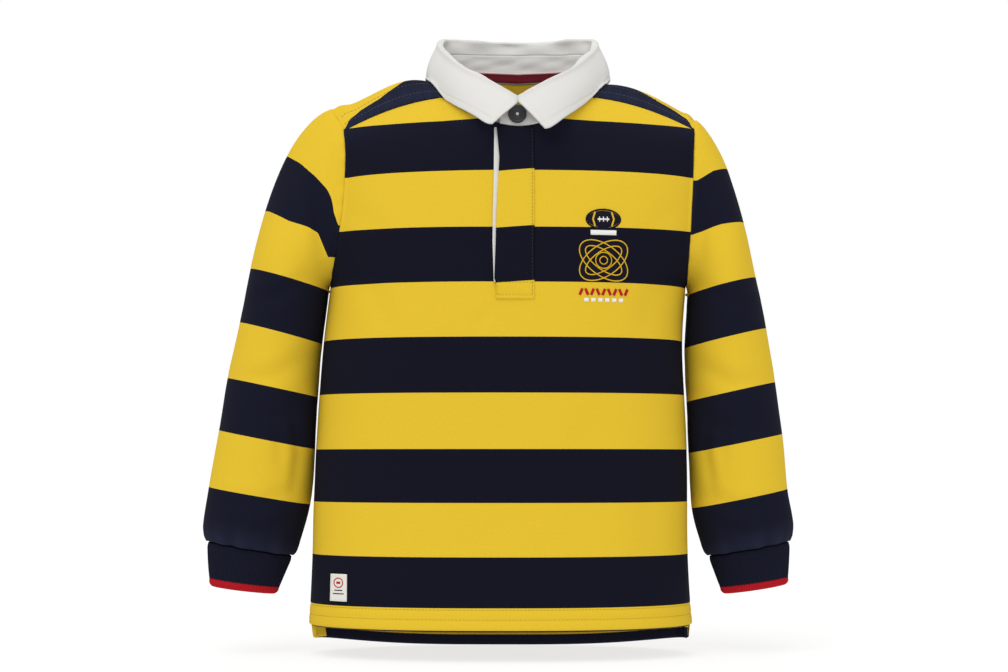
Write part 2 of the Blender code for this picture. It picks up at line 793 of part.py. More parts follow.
def build_front_trim(carrier):
    heights = stepped(PLACKET_FOOT, PLACKET_HEAD, PLACKET_ROWS)
    count = len(heights)
    lift = STRIP + 2 * SEAM_GAP
    under_heights = stepped(UNDER_FOOT, PLACKET_HEAD, PLACKET_ROWS)
    wall("placket_under", strip_grid(carrier, [PLACKET_FREE - UNDER_SHOW] * count,
                                     [PLACKET_STITCHED - UNDER_SHOW] * count,
                                     under_heights, lift, 4), STRIP, "white")
    wall("placket_overlap", strip_grid(carrier, [PLACKET_FREE] * count, [PLACKET_STITCHED] * count,
                                       heights, 2 * lift + STRIP, 4), STRIP * 2, "navy")
    wall("hem_label", strip_grid(carrier, [LABEL["left"]] * 3, [LABEL["right"]] * 3,
                                 stepped(LABEL["foot"], LABEL["top"], 2), LABEL_WALL + SEAM_GAP, 2),
         LABEL_WALL, "label")


def main():
    clear_scene()
    front = front_grid()
    back = back_grid()
    build_body(front, back)
    build_sleeves()
    build_collar(surface_of([front, back]))
    build_front_trim(surface_of([front]))
    for side in ("left", "right"):
        wall("vent_" + side, vent_grid(side), STRIP, "yellow", flip=side == "left")


main()
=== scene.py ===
"""Picture of a child's striped rugby shirt, on the CAD model's one body.

Sizes are in millimetres, meshes in metres, in the CAD's own frame: the origin is the middle of the
neck on the shoulder line, X runs to the viewer's right, Y to the back and Z up. "left" and "right"
are the viewer's. The form is the CAD's, on finer grids, with creases, seams and stitches on it.
"""
import math

import bpy
import numpy as np
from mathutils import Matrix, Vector
from mathutils.bvhtree import BVHTree


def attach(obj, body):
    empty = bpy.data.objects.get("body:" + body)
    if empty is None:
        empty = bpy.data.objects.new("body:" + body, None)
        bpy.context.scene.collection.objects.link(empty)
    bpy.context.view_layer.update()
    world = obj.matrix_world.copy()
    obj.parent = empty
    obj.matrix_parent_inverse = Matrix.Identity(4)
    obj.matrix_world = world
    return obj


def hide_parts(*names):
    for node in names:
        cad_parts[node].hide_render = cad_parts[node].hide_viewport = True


MM = 0.001

# Cloth thicknesses and the clearance between neighbouring pieces
JERSEY = 1.5
HEM_WALL = 3.0
TWILL = 1.6
STRIP = 1.1
RIB_WALL = 2.2
SEAM_GAP = 0.3
SIDE_GAP = 0.5

# Grid sizes: steps of the coarse grids, and how many fine ones lie on each
RING_STEPS = 28
PANEL_COLUMNS = 48
FRONT_LOW_SPANS = 45
FRONT_HIGH_SPANS = 18
BACK_LOW_SPANS = 48
BACK_HIGH_SPANS = 24
ROW_FACTOR = 3
COLUMN_FACTOR = 4
CAP_SPANS = 18
SLEEVE_SPANS = 40
CUFF_SPANS = 8
CUFF_STEPS = 48
TAPE_STEPS = 88
PLACKET_SPANS = 110
PLACKET_COLUMNS = 26
FRONT_STEPS = 12
SHOULDER_SPLIT = 0.03

# Torso
UNDERARM = -157.0
BACK_SIDE_HEM = -437.0
BACK_DROP = 11.4
SQUARENESS = 2.5
# Armhole step where each panel's rows give way to lanes, and depth at the underarm and there
TURN_STEP = {-1: 8, 1: 20}
CHEST_DEPTH = {-1: (79.0, 70.0), 1: (71.0, 67.0)}
NECK_SHARE = 1.0 / 3.0
# Arch of the shoulder seam over the straight line, and fullness of the back over the shoulder
SEAM_ARCH = (0.0, 2.5, 5.0)
SHOULDER_FULL = {-1.0: 0.8, 1.0: 0.35}

# Torso sections: height, left side x, right side x, front depth, back depth
TORSO = (
    (-450.0, -161.0, 134.5, 81.0, 80.0),
    (-425.6, -164.6, 136.7, 81.0, 79.0),
    (-409.1, -164.7, 136.4, 80.0, 78.0),
    (-370.3, -163.4, 135.0, 79.0, 75.0),
    (-329.1, -162.8, 134.8, 78.0, 71.0),
    (-288.0, -161.4, 134.6, 78.0, 67.0),
    (-245.0, -158.8, 132.8, 79.0, 65.0),
    (-202.2, -155.4, 131.4, 80.0, 66.0),
    (-157.0, -150.0, 134.0, 79.0, 71.0),
)

# Armhole seams, from the underarm up the front to the shoulder seam, over the shoulder and
# down the back: step round the ring, x, y, z
ARMHOLES = {
    "left": (
        (0.0, -150.0, 0.0, -157.0),
        (2.3, -146.0, -24.0, -146.0),
        (4.8, -140.2, -36.0, -119.3),
        (8.5, -136.0, -32.0, -74.8),
        (12.0, -138.6, -20.0, -34.0),
        (14.3, -151.0, 2.0, -12.7),
        (16.7, -149.0, 23.0, -30.0),
        (20.1, -143.0, 36.0, -72.0),
        (23.4, -145.0, 38.0, -115.0),
        (26.0, -149.0, 24.0, -147.0),
    ),
    "right": (
        (0.0, 134.0, 0.0, -157.0),
        (2.3, 133.5, -24.0, -147.0),
        (4.8, 134.4, -36.0, -119.7),
        (8.5, 137.3, -32.0, -74.1),
        (12.0, 140.1, -20.0, -33.2),
        (14.3, 143.5, 2.0, -23.0),
        (16.7, 141.5, 23.0, -38.0),
        (20.1, 137.5, 36.0, -76.0),
        (23.4, 135.5, 38.0, -117.0),
        (26.0, 134.0, 24.0, -148.0),
    ),
}

# Front neckline, centre to shoulder seam: share, x, y, z, and the lane's run there
NECK_FRONT = (
    (0.00, 0.0, -62.0, -38.0, 0.0, 0.25, 1.00),
    (0.22, 14.0, -61.0, -35.5, 0.0, 0.25, 1.00),
    (0.50, 33.0, -53.5, -27.0, -0.1, 0.35, 0.95),
    (0.78, 49.0, -41.0, -17.5, -0.2, 0.50, 0.85),
    (1.00, 58.0, -27.0, -8.0, -0.3, 0.60, 0.80),
)

# Back neckline, centre to shoulder seam, in the same columns
NECK_BACK = (
    (0.00, 0.0, 46.0, 13.5, 0.0, -0.30, 0.90),
    (0.30, 34.0, 40.0, 14.5, -0.1, -0.45, 0.80),
    (0.58, 53.0, 22.0, 14.0, -0.4, -0.75, 0.40),
    (0.80, 58.0, -3.0, 8.5, -0.7, -0.85, -0.30),
    (1.00, 58.0, -27.0, -8.0, -0.5, -0.85, -1.10),
)

# Sleeve sections down from the underarm: step, outer x, outer z, inner x, inner z, half depth,
# centre y
SLEEVES = {
    "left": (
        (0.0, -215.0, -143.5, -152.0, -161.5, 42.0, 3.0),
        (1.0, -223.2, -186.4, -157.2, -203.8, 40.0, 4.0),
        (2.0, -232.4, -230.9, -160.6, -246.1, 38.0, 5.0),
        (3.0, -239.3, -272.6, -163.2, -287.6, 36.0, 5.0),
        (4.0, -246.9, -317.7, -166.4, -331.5, 33.5, 5.0),
        (4.7, -251.3, -347.5, -174.5, -363.0, 31.0, 5.0),
        (5.0, -249.6, -360.5, -178.6, -372.5, 28.5, 5.0),
    ),
    "right": (
        (0.0, 190.7, -150.6, 136.0, -164.5, 42.0, 3.0),
        (1.0, 199.0, -191.2, 133.6, -207.1, 40.0, 4.0),
        (2.0, 205.9, -234.1, 134.9, -249.8, 38.0, 5.0),
        (3.0, 211.3, -275.6, 136.7, -290.8, 36.0, 5.0),
        (4.0, 215.4, -319.3, 139.4, -334.5, 33.5, 5.0),
        (4.7, 219.7, -346.5, 146.5, -363.0, 31.0, 5.0),
        (5.0, 218.4, -360.5, 150.6, -372.5, 28.5, 5.0),
    ),
}

# Run of the sleeve cap as it leaves the armhole seam, and its clearance there
SLEEVE_LEAVE = {"left": (-0.76, 0.0, -0.40), "right": (0.62, 0.0, -0.55)}
CAP_GAP = 0.6

# Cuff sections, top to bottom, in the sleeves' columns
CUFFS = {
    "left": (
        (0.0, -248.4, -361.4, -179.9, -373.4, 27.4, 5.0),
        (1.0, -247.6, -380.0, -187.0, -389.0, 24.0, 5.0),
        (2.0, -246.2, -396.2, -193.4, -402.8, 20.5, 5.0),
    ),
    "right": (
        (0.0, 217.2, -361.4, 151.9, -373.4, 27.4, 5.0),
        (1.0, 216.4, -380.0, 158.0, -389.0, 24.0, 5.0),
        (2.0, 215.6, -394.6, 163.8, -402.8, 20.5, 5.0),
    ),
}
RIB_HEIGHT = 0.3

# Collar, front end to the middle of the back, for the right half: share, seam between stand and
# fall x, y, z, roll line x, y, z, fall edge x, y, z
COLLAR = (
    (0.00, 2.5, -60.5, -24.0, 3.5, -62.5, -14.5, 20.5, -75.0, -41.0),
    (0.05, 7.5, -58.5, -20.0, 9.0, -60.5, -9.5, 25.5, -72.5, -39.0),
    (0.14, 20.0, -51.0, -10.5, 22.0, -52.0, 0.5, 35.0, -64.0, -31.0),
    (0.26, 37.0, -36.0, 2.5, 40.0, -37.0, 12.5, 51.0, -45.0, -18.0),
    (0.40, 51.0, -15.0, 17.0, 55.0, -15.0, 27.5, 67.5, -17.0, -4.0),
    (0.54, 57.5, 5.0, 28.5, 63.0, 7.0, 41.5, 74.5, 3.0, 10.0),
    (0.67, 53.0, 25.0, 34.5, 57.0, 27.0, 48.5, 71.0, 28.0, 9.0),
    (0.82, 33.0, 39.5, 37.0, 35.0, 42.5, 50.5, 44.0, 53.0, 4.0),
    (1.00, 0.0, 45.5, 38.0, 0.0, 50.0, 49.5, 0.0, 62.5, 2.0),
)
COLLAR_COLUMNS = 28
FALL_ROWS = 6
FALL_BULGE = 2.0
FALL_STAND_OFF = 3.4
BROW_DROP = 4.0
COLLAR_GAP = 0.6
ROLL_CROWN = 2.2
POINT_LEFT_RISE = 4.0
SKY = 300.0
LIFT_REACH = 12.0

# Stand: foot on the neckline, with the ends crossed at the front
STAND_CROSS = 0.05
STAND_LAYER = 3.4
CROSSED_DROP = 3.0
BACK_OF_NECK = 0.55

# Placket, on the front panel: x of the free edge and of the stitched edge, foot height
PLACKET_FREE = -16.2
PLACKET_STITCHED = 12.2
PLACKET_FOOT = -172.8
PLACKET_HEAD = -38.6
UNDER_FOOT = -160.0

# Button at the stand
BUTTON_X = -0.7
BUTTON_Z = -28.5
BUTTON_CLEAR = 0.45

# Neck tape, hem label and vent facings
TAPE_WALL = 0.7
TAPE_LOW = 0.03
TAPE_HIGH = 0.31
TAPE_FROM = 7
LABEL = {"left": -145.9, "right": -132.5, "top": -384.5, "foot": -405.0}
LABEL_WALL = 0.8
# Slant of the label's left side about a height, its ring, and its bars: half length, height
LABEL_SLANT = 0.02
LABEL_LEVEL = -395.0
LABEL_RING = 3.6
LABEL_RING_LEVEL = -391.0
LABEL_BARS = ((3.2, -396.8), (4.4, -399.4))
VENT_TOP = -399.0

CLOTH_ROUGHNESS = 0.95
SPECULAR = 0.12

# Stripe edges down the front, from the top; stripes with an even number above are navy
STRIPE_EDGES = (-30.5, -72.6, -117.3, -160.0, -202.2, -245.0, -288.0, -329.1, -370.3, -409.1, -425.6)
FRONT_BAND = 42.0
BACK_BAND = 43.4
# Lift of the front's stripes towards the armholes, the height it starts from and grows over
STRIPE_LIFT = 2.0
STRIPE_LIFT_FROM = -110.0
STRIPE_LIFT_OVER = 40.0
# How high up the back's cloth its top edge lies at mid neck, at the neck's end and at the armhole,
# and the navy band's width above the last by share of the panel's half width
LENS_MIDDLE = 8.0
LENS_NECK = 49.0
LENS_LOW = 13.0
LENS_START = 0.55
LENS = ((0.333, 36.0), (0.49, 24.0), (0.57, 17.0), (0.69, 11.5), (0.82, 9.5), (0.92, 5.5), (1.0, 0.0))
# Stripe edges on the sleeve caps, in the XZ plane, outer end first
CAP_BANDS = {
    "left": (((-186.6, -51.8), (-173.9, -60.2), (-160.6, -72.4), (-150.6, -83.5), (-146.8, -91.3),
              (-145.0, -102.4), (-141.6, -112.4)),
             ((-203.8, -96.5), (-198.4, -98.6), (-180.6, -108.4), (-165.0, -113.8), (-157.4, -118.0),
              (-149.8, -137.0)),
             ((-215.0, -143.5), (-150.4, -159.4))),
    "right": (((167.4, -63.6), (155.0, -67.5), (141.3, -76.4)),
              ((181.5, -106.8), (160.0, -111.0), (136.9, -119.6)),
              ((190.7, -150.6), (134.5, -164.2))),
}

# Creases: path in the XZ plane, width, depth
FRONT_CREASES = (
    (((-140, -140), (-112, -168), (-95, -205)), 9.0, 0.8),
    (((-138, -100), (-100, -120)), 8.0, 0.5),
    (((128, -140), (104, -170), (92, -210)), 9.0, 0.8),
    (((132, -96), (98, -118)), 8.0, 0.5),
    (((-58, -190), (-52, -260), (-60, -330)), 16.0, 0.8),
    (((62, -230), (52, -300), (58, -380)), 17.0, 0.8),
    (((-110, -300), (-104, -350), (-112, -400)), 13.0, 0.7),
    (((104, -300), (98, -350), (104, -400)), 12.0, 0.7),
    (((14, -176), (30, -200)), 6.0, 0.5),
    (((-19, -176), (-32, -196)), 6.0, 0.5),
)
BACK_CREASES = (
    (((-90, -60), (-60, -130), (-70, -220)), 14.0, 0.9),
    (((80, -70), (56, -140), (66, -230)), 14.0, 0.9),
    (((-30, -240), (-24, -320), (-34, -400)), 16.0, 0.8),
    (((40, -260), (34, -330), (44, -410)), 15.0, 0.8),
)
SLEEVE_CREASES = {
    "left": (
        (((-160, -150), (-190, -168), (-214, -172)), 6.0, 1.1),
        (((-165, -216), (-196, -232), (-222, -232)), 7.0, 1.2),
        (((-166, -254), (-190, -262), (-214, -258)), 6.0, 0.9),
        (((-172, -318), (-200, -330), (-232, -326)), 6.0, 0.9),
        (((-178, -346), (-208, -352), (-240, -342)), 4.5, 1.0),
        (((-158, -40), (-176, -70), (-184, -110)), 9.0, 0.8),
        (((-166, -70), (-157, -104), (-153, -140)), 6.0, 2.4),
        (((-178, -252), (-173, -290), (-178, -326)), 4.0, 1.3),
        (((-190, -262), (-187, -300)), 4.0, 0.8),
    ),
    "right": (
        (((140, -158), (168, -174), (188, -176)), 6.0, 1.1),
        (((138, -220), (166, -236), (196, -234)), 7.0, 1.2),
        (((140, -262), (164, -272), (190, -268)), 6.0, 0.9),
        (((144, -322), (172, -334), (204, -330)), 6.0, 0.9),
        (((152, -346), (182, -354), (210, -344)), 4.5, 1.0),
        (((150, -46), (164, -76), (168, -112)), 9.0, 0.8),
        (((150, -66), (145, -104), (142, -140)), 5.0, 1.8),
        (((150, -252), (148, -290), (154, -326)), 4.0, 1.2),
        (((162, -262), (160, -300)), 4.0, 0.8),
    ),
}

# Rows of the fine grids that carry a line of stitches, counted from the hem or the seam
FRONT_HEM_LINES = (4.1, 7.8)
BACK_HEM_LINES = (2.8, 4.4)
ALLOWANCE_ROWS = 4.2
CORNER_COLUMNS = 6
SHOULDER_LINES = (1.6, 4.2)
VENT_STITCH = 7.5
# The hem's corners stand out by the flare over some rows; seams draw the cloth in
HEM_FLARE = 1.8
FLARE_ROWS = 7.0
TOP_HOLD_ROWS = 10.0
TOP_DIP = 0.9
SIDE_DIP = 0.6
ARMHOLE_RIDGE = 1.1
HEM_STITCH_DIP = 0.45
# The crest of the back over the shoulder: lift, its column and reach, and drop at the armhole
CREST_LIFT = 1.5
CREST_COLUMN = 7.0
CREST_REACH = 4.0
CREST_DROP = 2.0
CREST_DROP_REACH = 2.5
# How much lighter navy the front and the sleeves get beside the back: part wear, part painted sheen
FRONT_WEAR_AND_SHEEN = 0.35
SLEEVE_WEAR_AND_SHEEN = 0.6
SLEEVE_WEAR_AND_SHEEN_ALL_OVER = 0.10
# Stitches: length, gap and radius of thread
COLLAR_STITCH = (2.2, 0.6, 0.17)
PLACKET_STITCH = (2.0, 0.7, 0.16)
LABEL_STITCH = (1.3, 0.4, 0.12)
VENT_THREAD = (2.0, 0.6, 0.2)
HEM_STITCH = (2.2, 0.7, 0.17)
SHOULDER_STITCH = (2.2, 0.8, 0.19)
# Wavy cover stitch: columns left free at each end, points in a column, height, turn, radius
COVER_END = 10
COVER_POINTS = 6
COVER_WAVE = 0.45
COVER_TURN = 1.7
COVER_RADIUS = 0.42
VENT_WIDTH = 9.5
VENT_DEPTH = 7.0
COLLAR_TOPSTITCH = 6
COLLAR_STATIONS = 56
FALL_LIFT = 1.2
COLLAR_MEET = 3.8
PLACKET_TILT = 1.2
PLACKET_WALL = 2.2
# The overlap's height over the panel at its stitched edge, its rise at the free edge, and the
# height from which and the length over which it rises from the foot
OVERLAP_LOW = 0.9
OVERLAP_RISE = 2.7
OVERLAP_FOOT = -174.0
OVERLAP_EASE = 20.0
# Fine column of the placket's seam stitches, and rows and side column of the box at its foot
PLACKET_SEAM = 24.6
PLACKET_BOX = (2, 10)
PLACKET_BOX_SIDE = 0.9
# Height and x of the placket's free edge, and of the white facing beside it
PLACKET_EDGE = ((-38.0, -17.0), (-46.0, -16.2), (-62.0, -14.8), (-75.0, -15.3), (-105.0, -17.0),
                (-130.0, -17.5), (-158.0, -18.6), (-161.0, -17.2), (-173.0, -17.2))
FACING_EDGE = ((-38.0, -18.8), (-75.0, -19.1), (-105.0, -19.8), (-130.0, -20.0), (-160.0, -19.0))
UNDER_TUCK = 7.0
STAND_CREASE = 0.4
RIBS = 80
RIB_COLUMNS = 6
TIP_SHARE = 0.2
PIPING_RADIUS = 0.8
MOTIF = (65.5, -141.0)

# Turned profiles of the button and of the stud in its middle: radius, height over its back
BUTTON_TURNING = (
    (0.3, 0.0), (6.2, 0.0), (6.9, 0.5), (7.2, 1.2), (7.15, 1.9), (6.8, 2.4), (6.2, 2.55), (5.7, 2.3),
    (5.4, 1.9), (4.9, 1.65), (4.0, 1.55), (3.6, 1.85), (3.2, 1.95), (2.9, 1.6), (2.2, 1.45), (0.3, 1.4),
)
BUTTON_STUD = ((0.2, 1.3), (1.15, 1.3), (1.2, 1.8), (0.9, 2.1), (0.2, 2.2))

# Colours
YELLOW = (0.72, 0.485, 0.028, 1.0)
NAVY = (0.0046, 0.0048, 0.0130, 1.0)
# Lighter, bluer navy that wear and painted sheen give the navy near seams, on gathers and on rib crests
NAVY_WEAR_AND_SHEEN = (0.018, 0.023, 0.050, 1.0)
WHITE = (0.69, 0.682, 0.655, 1.0)
RED = (0.42, 0.008, 0.014, 1.0)
BURGUNDY = (0.15, 0.010, 0.020, 1.0)
PIPING = (0.72, 0.50, 0.50, 1.0)
LABEL_COLOUR = (0.74, 0.72, 0.66, 1.0)
BUTTON_COLOUR = (0.035, 0.035, 0.038, 1.0)
BUTTON_MIDDLE = (0.45, 0.44, 0.42, 1.0)
THREAD_WHITE = (0.80, 0.79, 0.76, 1.0)
THREAD_CREAM = (0.76, 0.75, 0.71, 1.0)
THREAD_GREY = (0.10, 0.10, 0.13, 1.0)
THREAD_DULL = (0.055, 0.050, 0.045, 1.0)
THREAD_GOLD = (0.70, 0.43, 0.022, 1.0)
THREAD_OCHRE = (0.40, 0.23, 0.012, 1.0)

# Picture
FLOOR = -0.4500
FLOOR_REACH = 9.0
FLOOR_GREY = 0.26
FLOOR_GLOW = 0.75
SKY_STRENGTH = 0.50
CAMERA_LENS = 75.9
CAMERA_SENSOR = 36.0
CAMERA_PLACE = (-0.0112, -1.700, -0.2964)
CAMERA_TILT = 3.34
PHOTO_SIZE = (1008, 672)
LIGHTS = (
    ("key", (0.35, 0.75, -1.25), 1.5, 50.0),
    ("fill", (-0.6, 0.8, -0.5), 0.35, 60.0),
    ("top", (0.0, -0.2, -1.0), 0.45, 60.0),
)


def spline(rows, key, period=None):
    """Row of a table at a key: a smooth curve through its rows, whose first column is the key."""
    rows = list(rows)
    if period:
        first = rows[0]
        before = (rows[-1][0] - period,) + tuple(rows[-1][1:])
        after = (first[0] + period,) + tuple(first[1:])
        second = (rows[1][0] + period,) + tuple(rows[1][1:])
        rows = [before] + rows + [after, second]
        key = key % period
    last = len(rows) - 1
    at = 0
    while at < last - 1 and key > rows[at + 1][0]:
        at += 1
    span = rows[at + 1][0] - rows[at][0]
    share = (key - rows[at][0]) / span
    share = min(max(share, 0.0), 1.0)

    def slope(index, column):
        low = max(index - 1, 0)
        high = min(index + 1, last)
        return (rows[high][column] - rows[low][column]) / (rows[high][0] - rows[low][0])

    values = []
    for column in range(1, len(rows[0])):
        start = rows[at][column]
        end = rows[at + 1][column]
        values.append(hermite(start, end, slope(at, column) * span,
                              slope(at + 1, column) * span, share))
    return values


def hermite(start, end, leave, arrive, share):
    """Cubic from start to end, leaving and arriving with the given runs."""
    square = share * share
    cube = square * share
    return (start * (2 * cube - 3 * square + 1) + leave * (cube - 2 * square + share)
            + end * (3 * square - 2 * cube) + arrive * (cube - square))


def torso_point(height, t, side):
    """Point on the torso: t from -1 at the left side to 1 at the right, side -1 front, 1 back."""
    left, right, front, back = spline(TORSO, height)
    across = math.sin(t * math.pi / 2)
    depth = back if side > 0 else front
    bow = math.sqrt(max(1.0 - abs(across) ** SQUARENESS, 0.0))
    return Vector(((left + right) / 2 + (right - left) / 2 * across, side * depth * bow, height))


def armhole_point(side, step):
    return Vector(spline(ARMHOLES[side], step, RING_STEPS))


def top_edge(t, table):
    """Point of a panel's top edge and the run of its lane there: neckline, then shoulder seam."""
    reach = abs(t)
    mirror = math.copysign(1.0, t)
    if reach <= NECK_SHARE:
        x, y, z, run_x, run_y, run_z = spline(table, reach / NECK_SHARE)
        return Vector((x * mirror, y, z)), Vector((run_x * mirror, run_y, run_z))
    x, y, z, run_x, run_y, run_z = table[-1][1:]
    corner = armhole_point("left" if t < 0 else "right", FRONT_STEPS)
    even = (reach - NECK_SHARE) / (1.0 - NECK_SHARE)
    turned = (math.sin(reach * math.pi / 2) - 0.5) / 0.5
    share = (even + turned) / 2
    arch = 4.0 * share * (1.0 - share)
    run_x *= mirror * (1.0 - share) ** 2
    if table is NECK_BACK:
        run_z -= SHOULDER_FULL[mirror] * arch
    place = Vector((x * mirror, y, z)).lerp(corner, share) + Vector(SEAM_ARCH) * arch
    return place, Vector((run_x, run_y, run_z))


def chest_point(t, step, side):
    """Point between the underarm row and the row where the lanes to the top edge start."""
    left = armhole_point("left", step)
    right = armhole_point("right", step)
    edge = left if t < 0 else right
    climbed = step / TURN_STEP[side]
    if side > 0:
        climbed = (RING_STEPS - step) / (RING_STEPS - TURN_STEP[side])
    middle = (left + right) / 2
    low, high = CHEST_DEPTH[side]
    depth = low + (high - low) * climbed ** 1.7
    reach = (1.0 - (edge.y / depth) ** 2) ** (1.0 / SQUARENESS)
    across = math.sin(abs(t) * math.asin(reach))
    bow = math.sqrt(max(1.0 - across ** SQUARENESS, 0.0))
    out = across / reach
    return Vector((middle.x + (edge.x - middle.x) * out, side * depth * bow,
                   middle.z + (edge.z - middle.z) * out ** 2))


def lane_point(t, share, side):
    """Point on the lane that climbs from the turning row to the panel's top edge."""
    start = chest_point(t, TURN_STEP[side], side)
    end, run = top_edge(t, NECK_BACK if side > 0 else NECK_FRONT)
    length = (end - start).length
    rise = start - chest_point(t, TURN_STEP[side] + side, side)
    return hermite(start, end, rise.normalized() * length, run * length, share)


def panel_point(t, step, side):
    """Point above the underarm: the chest rows, then the lanes, eased to the armhole seam."""
    climbed = (step - TURN_STEP[side]) / (FRONT_STEPS - TURN_STEP[side])
    if climbed <= 0.0:
        return chest_point(t, step, side)
    edge = "left" if t < 0 else "right"
    miss = armhole_point(edge, step) - lane_point(math.copysign(1.0, t), climbed, side)
    return lane_point(t, climbed, side) + miss * abs(t) ** 5


def column_values(count):
    return [2.0 * index / count - 1.0 for index in range(count + 1)]


def back_hem(t):
    return BACK_SIDE_HEM - BACK_DROP * (1.0 - abs(math.sin(t * math.pi / 2)) ** 3)


def ring_point(table, step, around):
    """Point on a sleeve or cuff section: around 0 at the inner side, a quarter at the front."""
    outer_x, outer_z, inner_x, inner_z, depth, centre_y = spline(table, step)
    outer = Vector((outer_x, centre_y, outer_z))
    inner = Vector((inner_x, centre_y, inner_z))
    turn = around * 2 * math.pi
    middle = (outer + inner) / 2
    return middle - (outer - inner) / 2 * math.cos(turn) + Vector((0, -depth * math.sin(turn), 0))


def cap_point(side, step, share):
    """Point of the sleeve cap on its run from the armhole seam to the first full section."""
    table = SLEEVES[side]
    around = step / RING_STEPS
    run = Vector(SLEEVE_LEAVE[side])
    start = armhole_point(side, step) + run * CAP_GAP
    end = ring_point(table, 0.0, around)
    along = (ring_point(table, 0.6, around) - end).normalized()
    length = (end - start).length
    return hermite(start, end, run * length, along * length, share)


def collar_station(share):
    """Seam, roll and edge points at a share from the left front end (0) to the right one (1)."""
    half = abs(share * 2.0 - 1.0)
    mirror = 1.0 if share > 0.5 else -1.0
    values = spline(COLLAR, 1.0 - half)
    points = []
    for first in (0, 3, 6):
        x, y, z = values[first:first + 3]
        points.append(Vector((x * mirror, y, z)))
    if mirror < 0:
        points[2].z += POINT_LEFT_RISE * max(0.0, (half - 0.7) / 0.3)
    layer = front_layer(share) * out_of_neck(points[0])
    return [point + layer for point in points]


def front_layer(share):
    """How far the collar's ends part, the right one over the left one."""
    near_front = min(max((abs(share * 2.0 - 1.0) - 0.74) / 0.14, 0.0), 1.0)
    return near_front * STAND_LAYER / 2 * (1.0 if share > 0.5 else -1.0)


def out_of_neck(point):
    """Level direction away from the neck's middle."""
    return Vector((point.x, point.y + 8.0, 0.0)).normalized()


def rest_on(point, carrier, clearance):
    """The point, lifted to clear the cloth that carries it."""
    place, normal = carrier.ray_cast(Vector((point.x, point.y, SKY)), Vector((0, 0, -1)))[:2]
    if place is None or place.z < point.z - LIFT_REACH:
        return point
    lift = place.z + clearance / max(abs(normal.z), 0.5)
    return Vector((point.x, point.y, max(point.z, lift)))


def neckline(share):
    """Neckline point from the left front (0) by the back (0.5) to the right front (1)."""
    half = abs(share * 2.0 - 1.0)
    mirror = 1.0 if share > 0.5 else -1.0
    if half > 1.0:
        half = 2.0 - half
        mirror = -mirror
    if half < BACK_OF_NECK:
        x, y, z = spline(NECK_BACK, half / BACK_OF_NECK)[:3]
    else:
        x, y, z = spline(NECK_FRONT, (1.0 - half) / (1.0 - BACK_OF_NECK))[:3]
    return Vector((x * mirror, y, z))


def stand_point(share, rise):
    """Outer face of the stand. Past the front centre the right end crosses over the left."""
    foot = neckline(share)
    beyond = max(-share, share - 1.0, 0.0)
    inside = min(max(share, 0.0), 1.0)
    head = collar_station(inside + (beyond if share < 0 else -beyond))[0]
    if beyond:
        head = Vector((-head.x, head.y, head.z - CROSSED_DROP))
    outward = out_of_neck(foot)
    foot = foot + Vector((0, 0, SEAM_GAP * 2)) + outward * (front_layer(share) - SEAM_GAP)
    return foot.lerp(head + outward * TWILL, rise)


def on_front(carrier, x, z, lift):
    """Point over the front panel at x and z, clear of it by the lift."""
    place, normal = carrier.ray_cast(Vector((x, -SKY, z)), Vector((0, 1, 0)))[:2]
    return place + Vector((0, -lift / max(abs(normal.y), 0.4), 0))


def stepped(low, high, count):
    return [low + (high - low) * index / count for index in range(count + 1)]


def as_vectors(grid):
    return [[Vector(point) for point in row] for row in grid]


def surface_of(grids):
    """Search tree over open grids of points."""
    points = []
    faces = []
    for grid in grids:
        base = len(points)
        width = len(grid[0])
        for row in grid:
            points += row
        for i in range(len(grid) - 1):
            for j in range(width - 1):
                at = base + i * width + j
                faces.append((at, at + 1, at + width + 1, at + width))
    return BVHTree.FromPolygons(points, faces)


# Grids

def sample(place, rows, columns):
    """Array of points, by row and column value."""
    return np.array([[tuple(place(row, column)) for column in columns] for row in rows])


def refined(grid, factor, axis, closed=False):
    """Grid with smoothly curved points added between its own along an axis."""
    g = np.moveaxis(grid, axis, 0)
    if closed:
        padded = np.concatenate([g[-1:], g, g[:2]])
        spans = len(g)
    else:
        padded = np.concatenate([2 * g[:1] - g[1:2], g, 2 * g[-1:] - g[-2:-1]])
        spans = len(g) - 1
    out = []
    for i in range(spans):
        p0, p1, p2, p3 = padded[i:i + 4]
        for t in np.arange(factor) / factor:
            out.append(0.5 * (2 * p1 + (p2 - p0) * t + (2 * p0 - 5 * p1 + 4 * p2 - p3) * t ** 2
                              + (3 * p1 - p0 - 3 * p2 + p3) * t ** 3))
    if not closed:
        out.append(g[-1])
    return np.moveaxis(np.array(out), 0, axis)


def normals_of(grid, closed=False):
    """Unit normals of a grid of points."""
    if closed:
        across = np.roll(grid, -1, 1) - np.roll(grid, 1, 1)
    else:
        across = np.gradient(grid, axis=1)
    normal = np.cross(across, np.gradient(grid, axis=0))
    return normal / np.maximum(np.linalg.norm(normal, axis=2, keepdims=True), 1e-9)


def smoothed(grid, rounds):
    """Grid with its inner points drawn to the mean of their neighbours."""
    grid = grid.copy()
    for _ in range(rounds):
        mean = (grid[:-2, 1:-1] + grid[2:, 1:-1] + grid[1:-1, :-2] + grid[1:-1, 2:]) / 4
        grid[1:-1, 1:-1] = grid[1:-1, 1:-1] * 0.4 + mean * 0.6
    return grid


def picked(grid, row, column):
    """Value of a grid at a row and column that may lie between its own."""
    rows, columns = grid.shape[:2]
    row = min(max(row, 0.0), rows - 1.001)
    column = min(max(column, 0.0), columns - 1.001)
    i = int(row)
    j = int(column)
    a = row - i
    b = column - j
    return ((grid[i, j] * (1 - b) + grid[i, j + 1] * b) * (1 - a)
            + (grid[i + 1, j] * (1 - b) + grid[i + 1, j + 1] * b) * a)


# Meshes

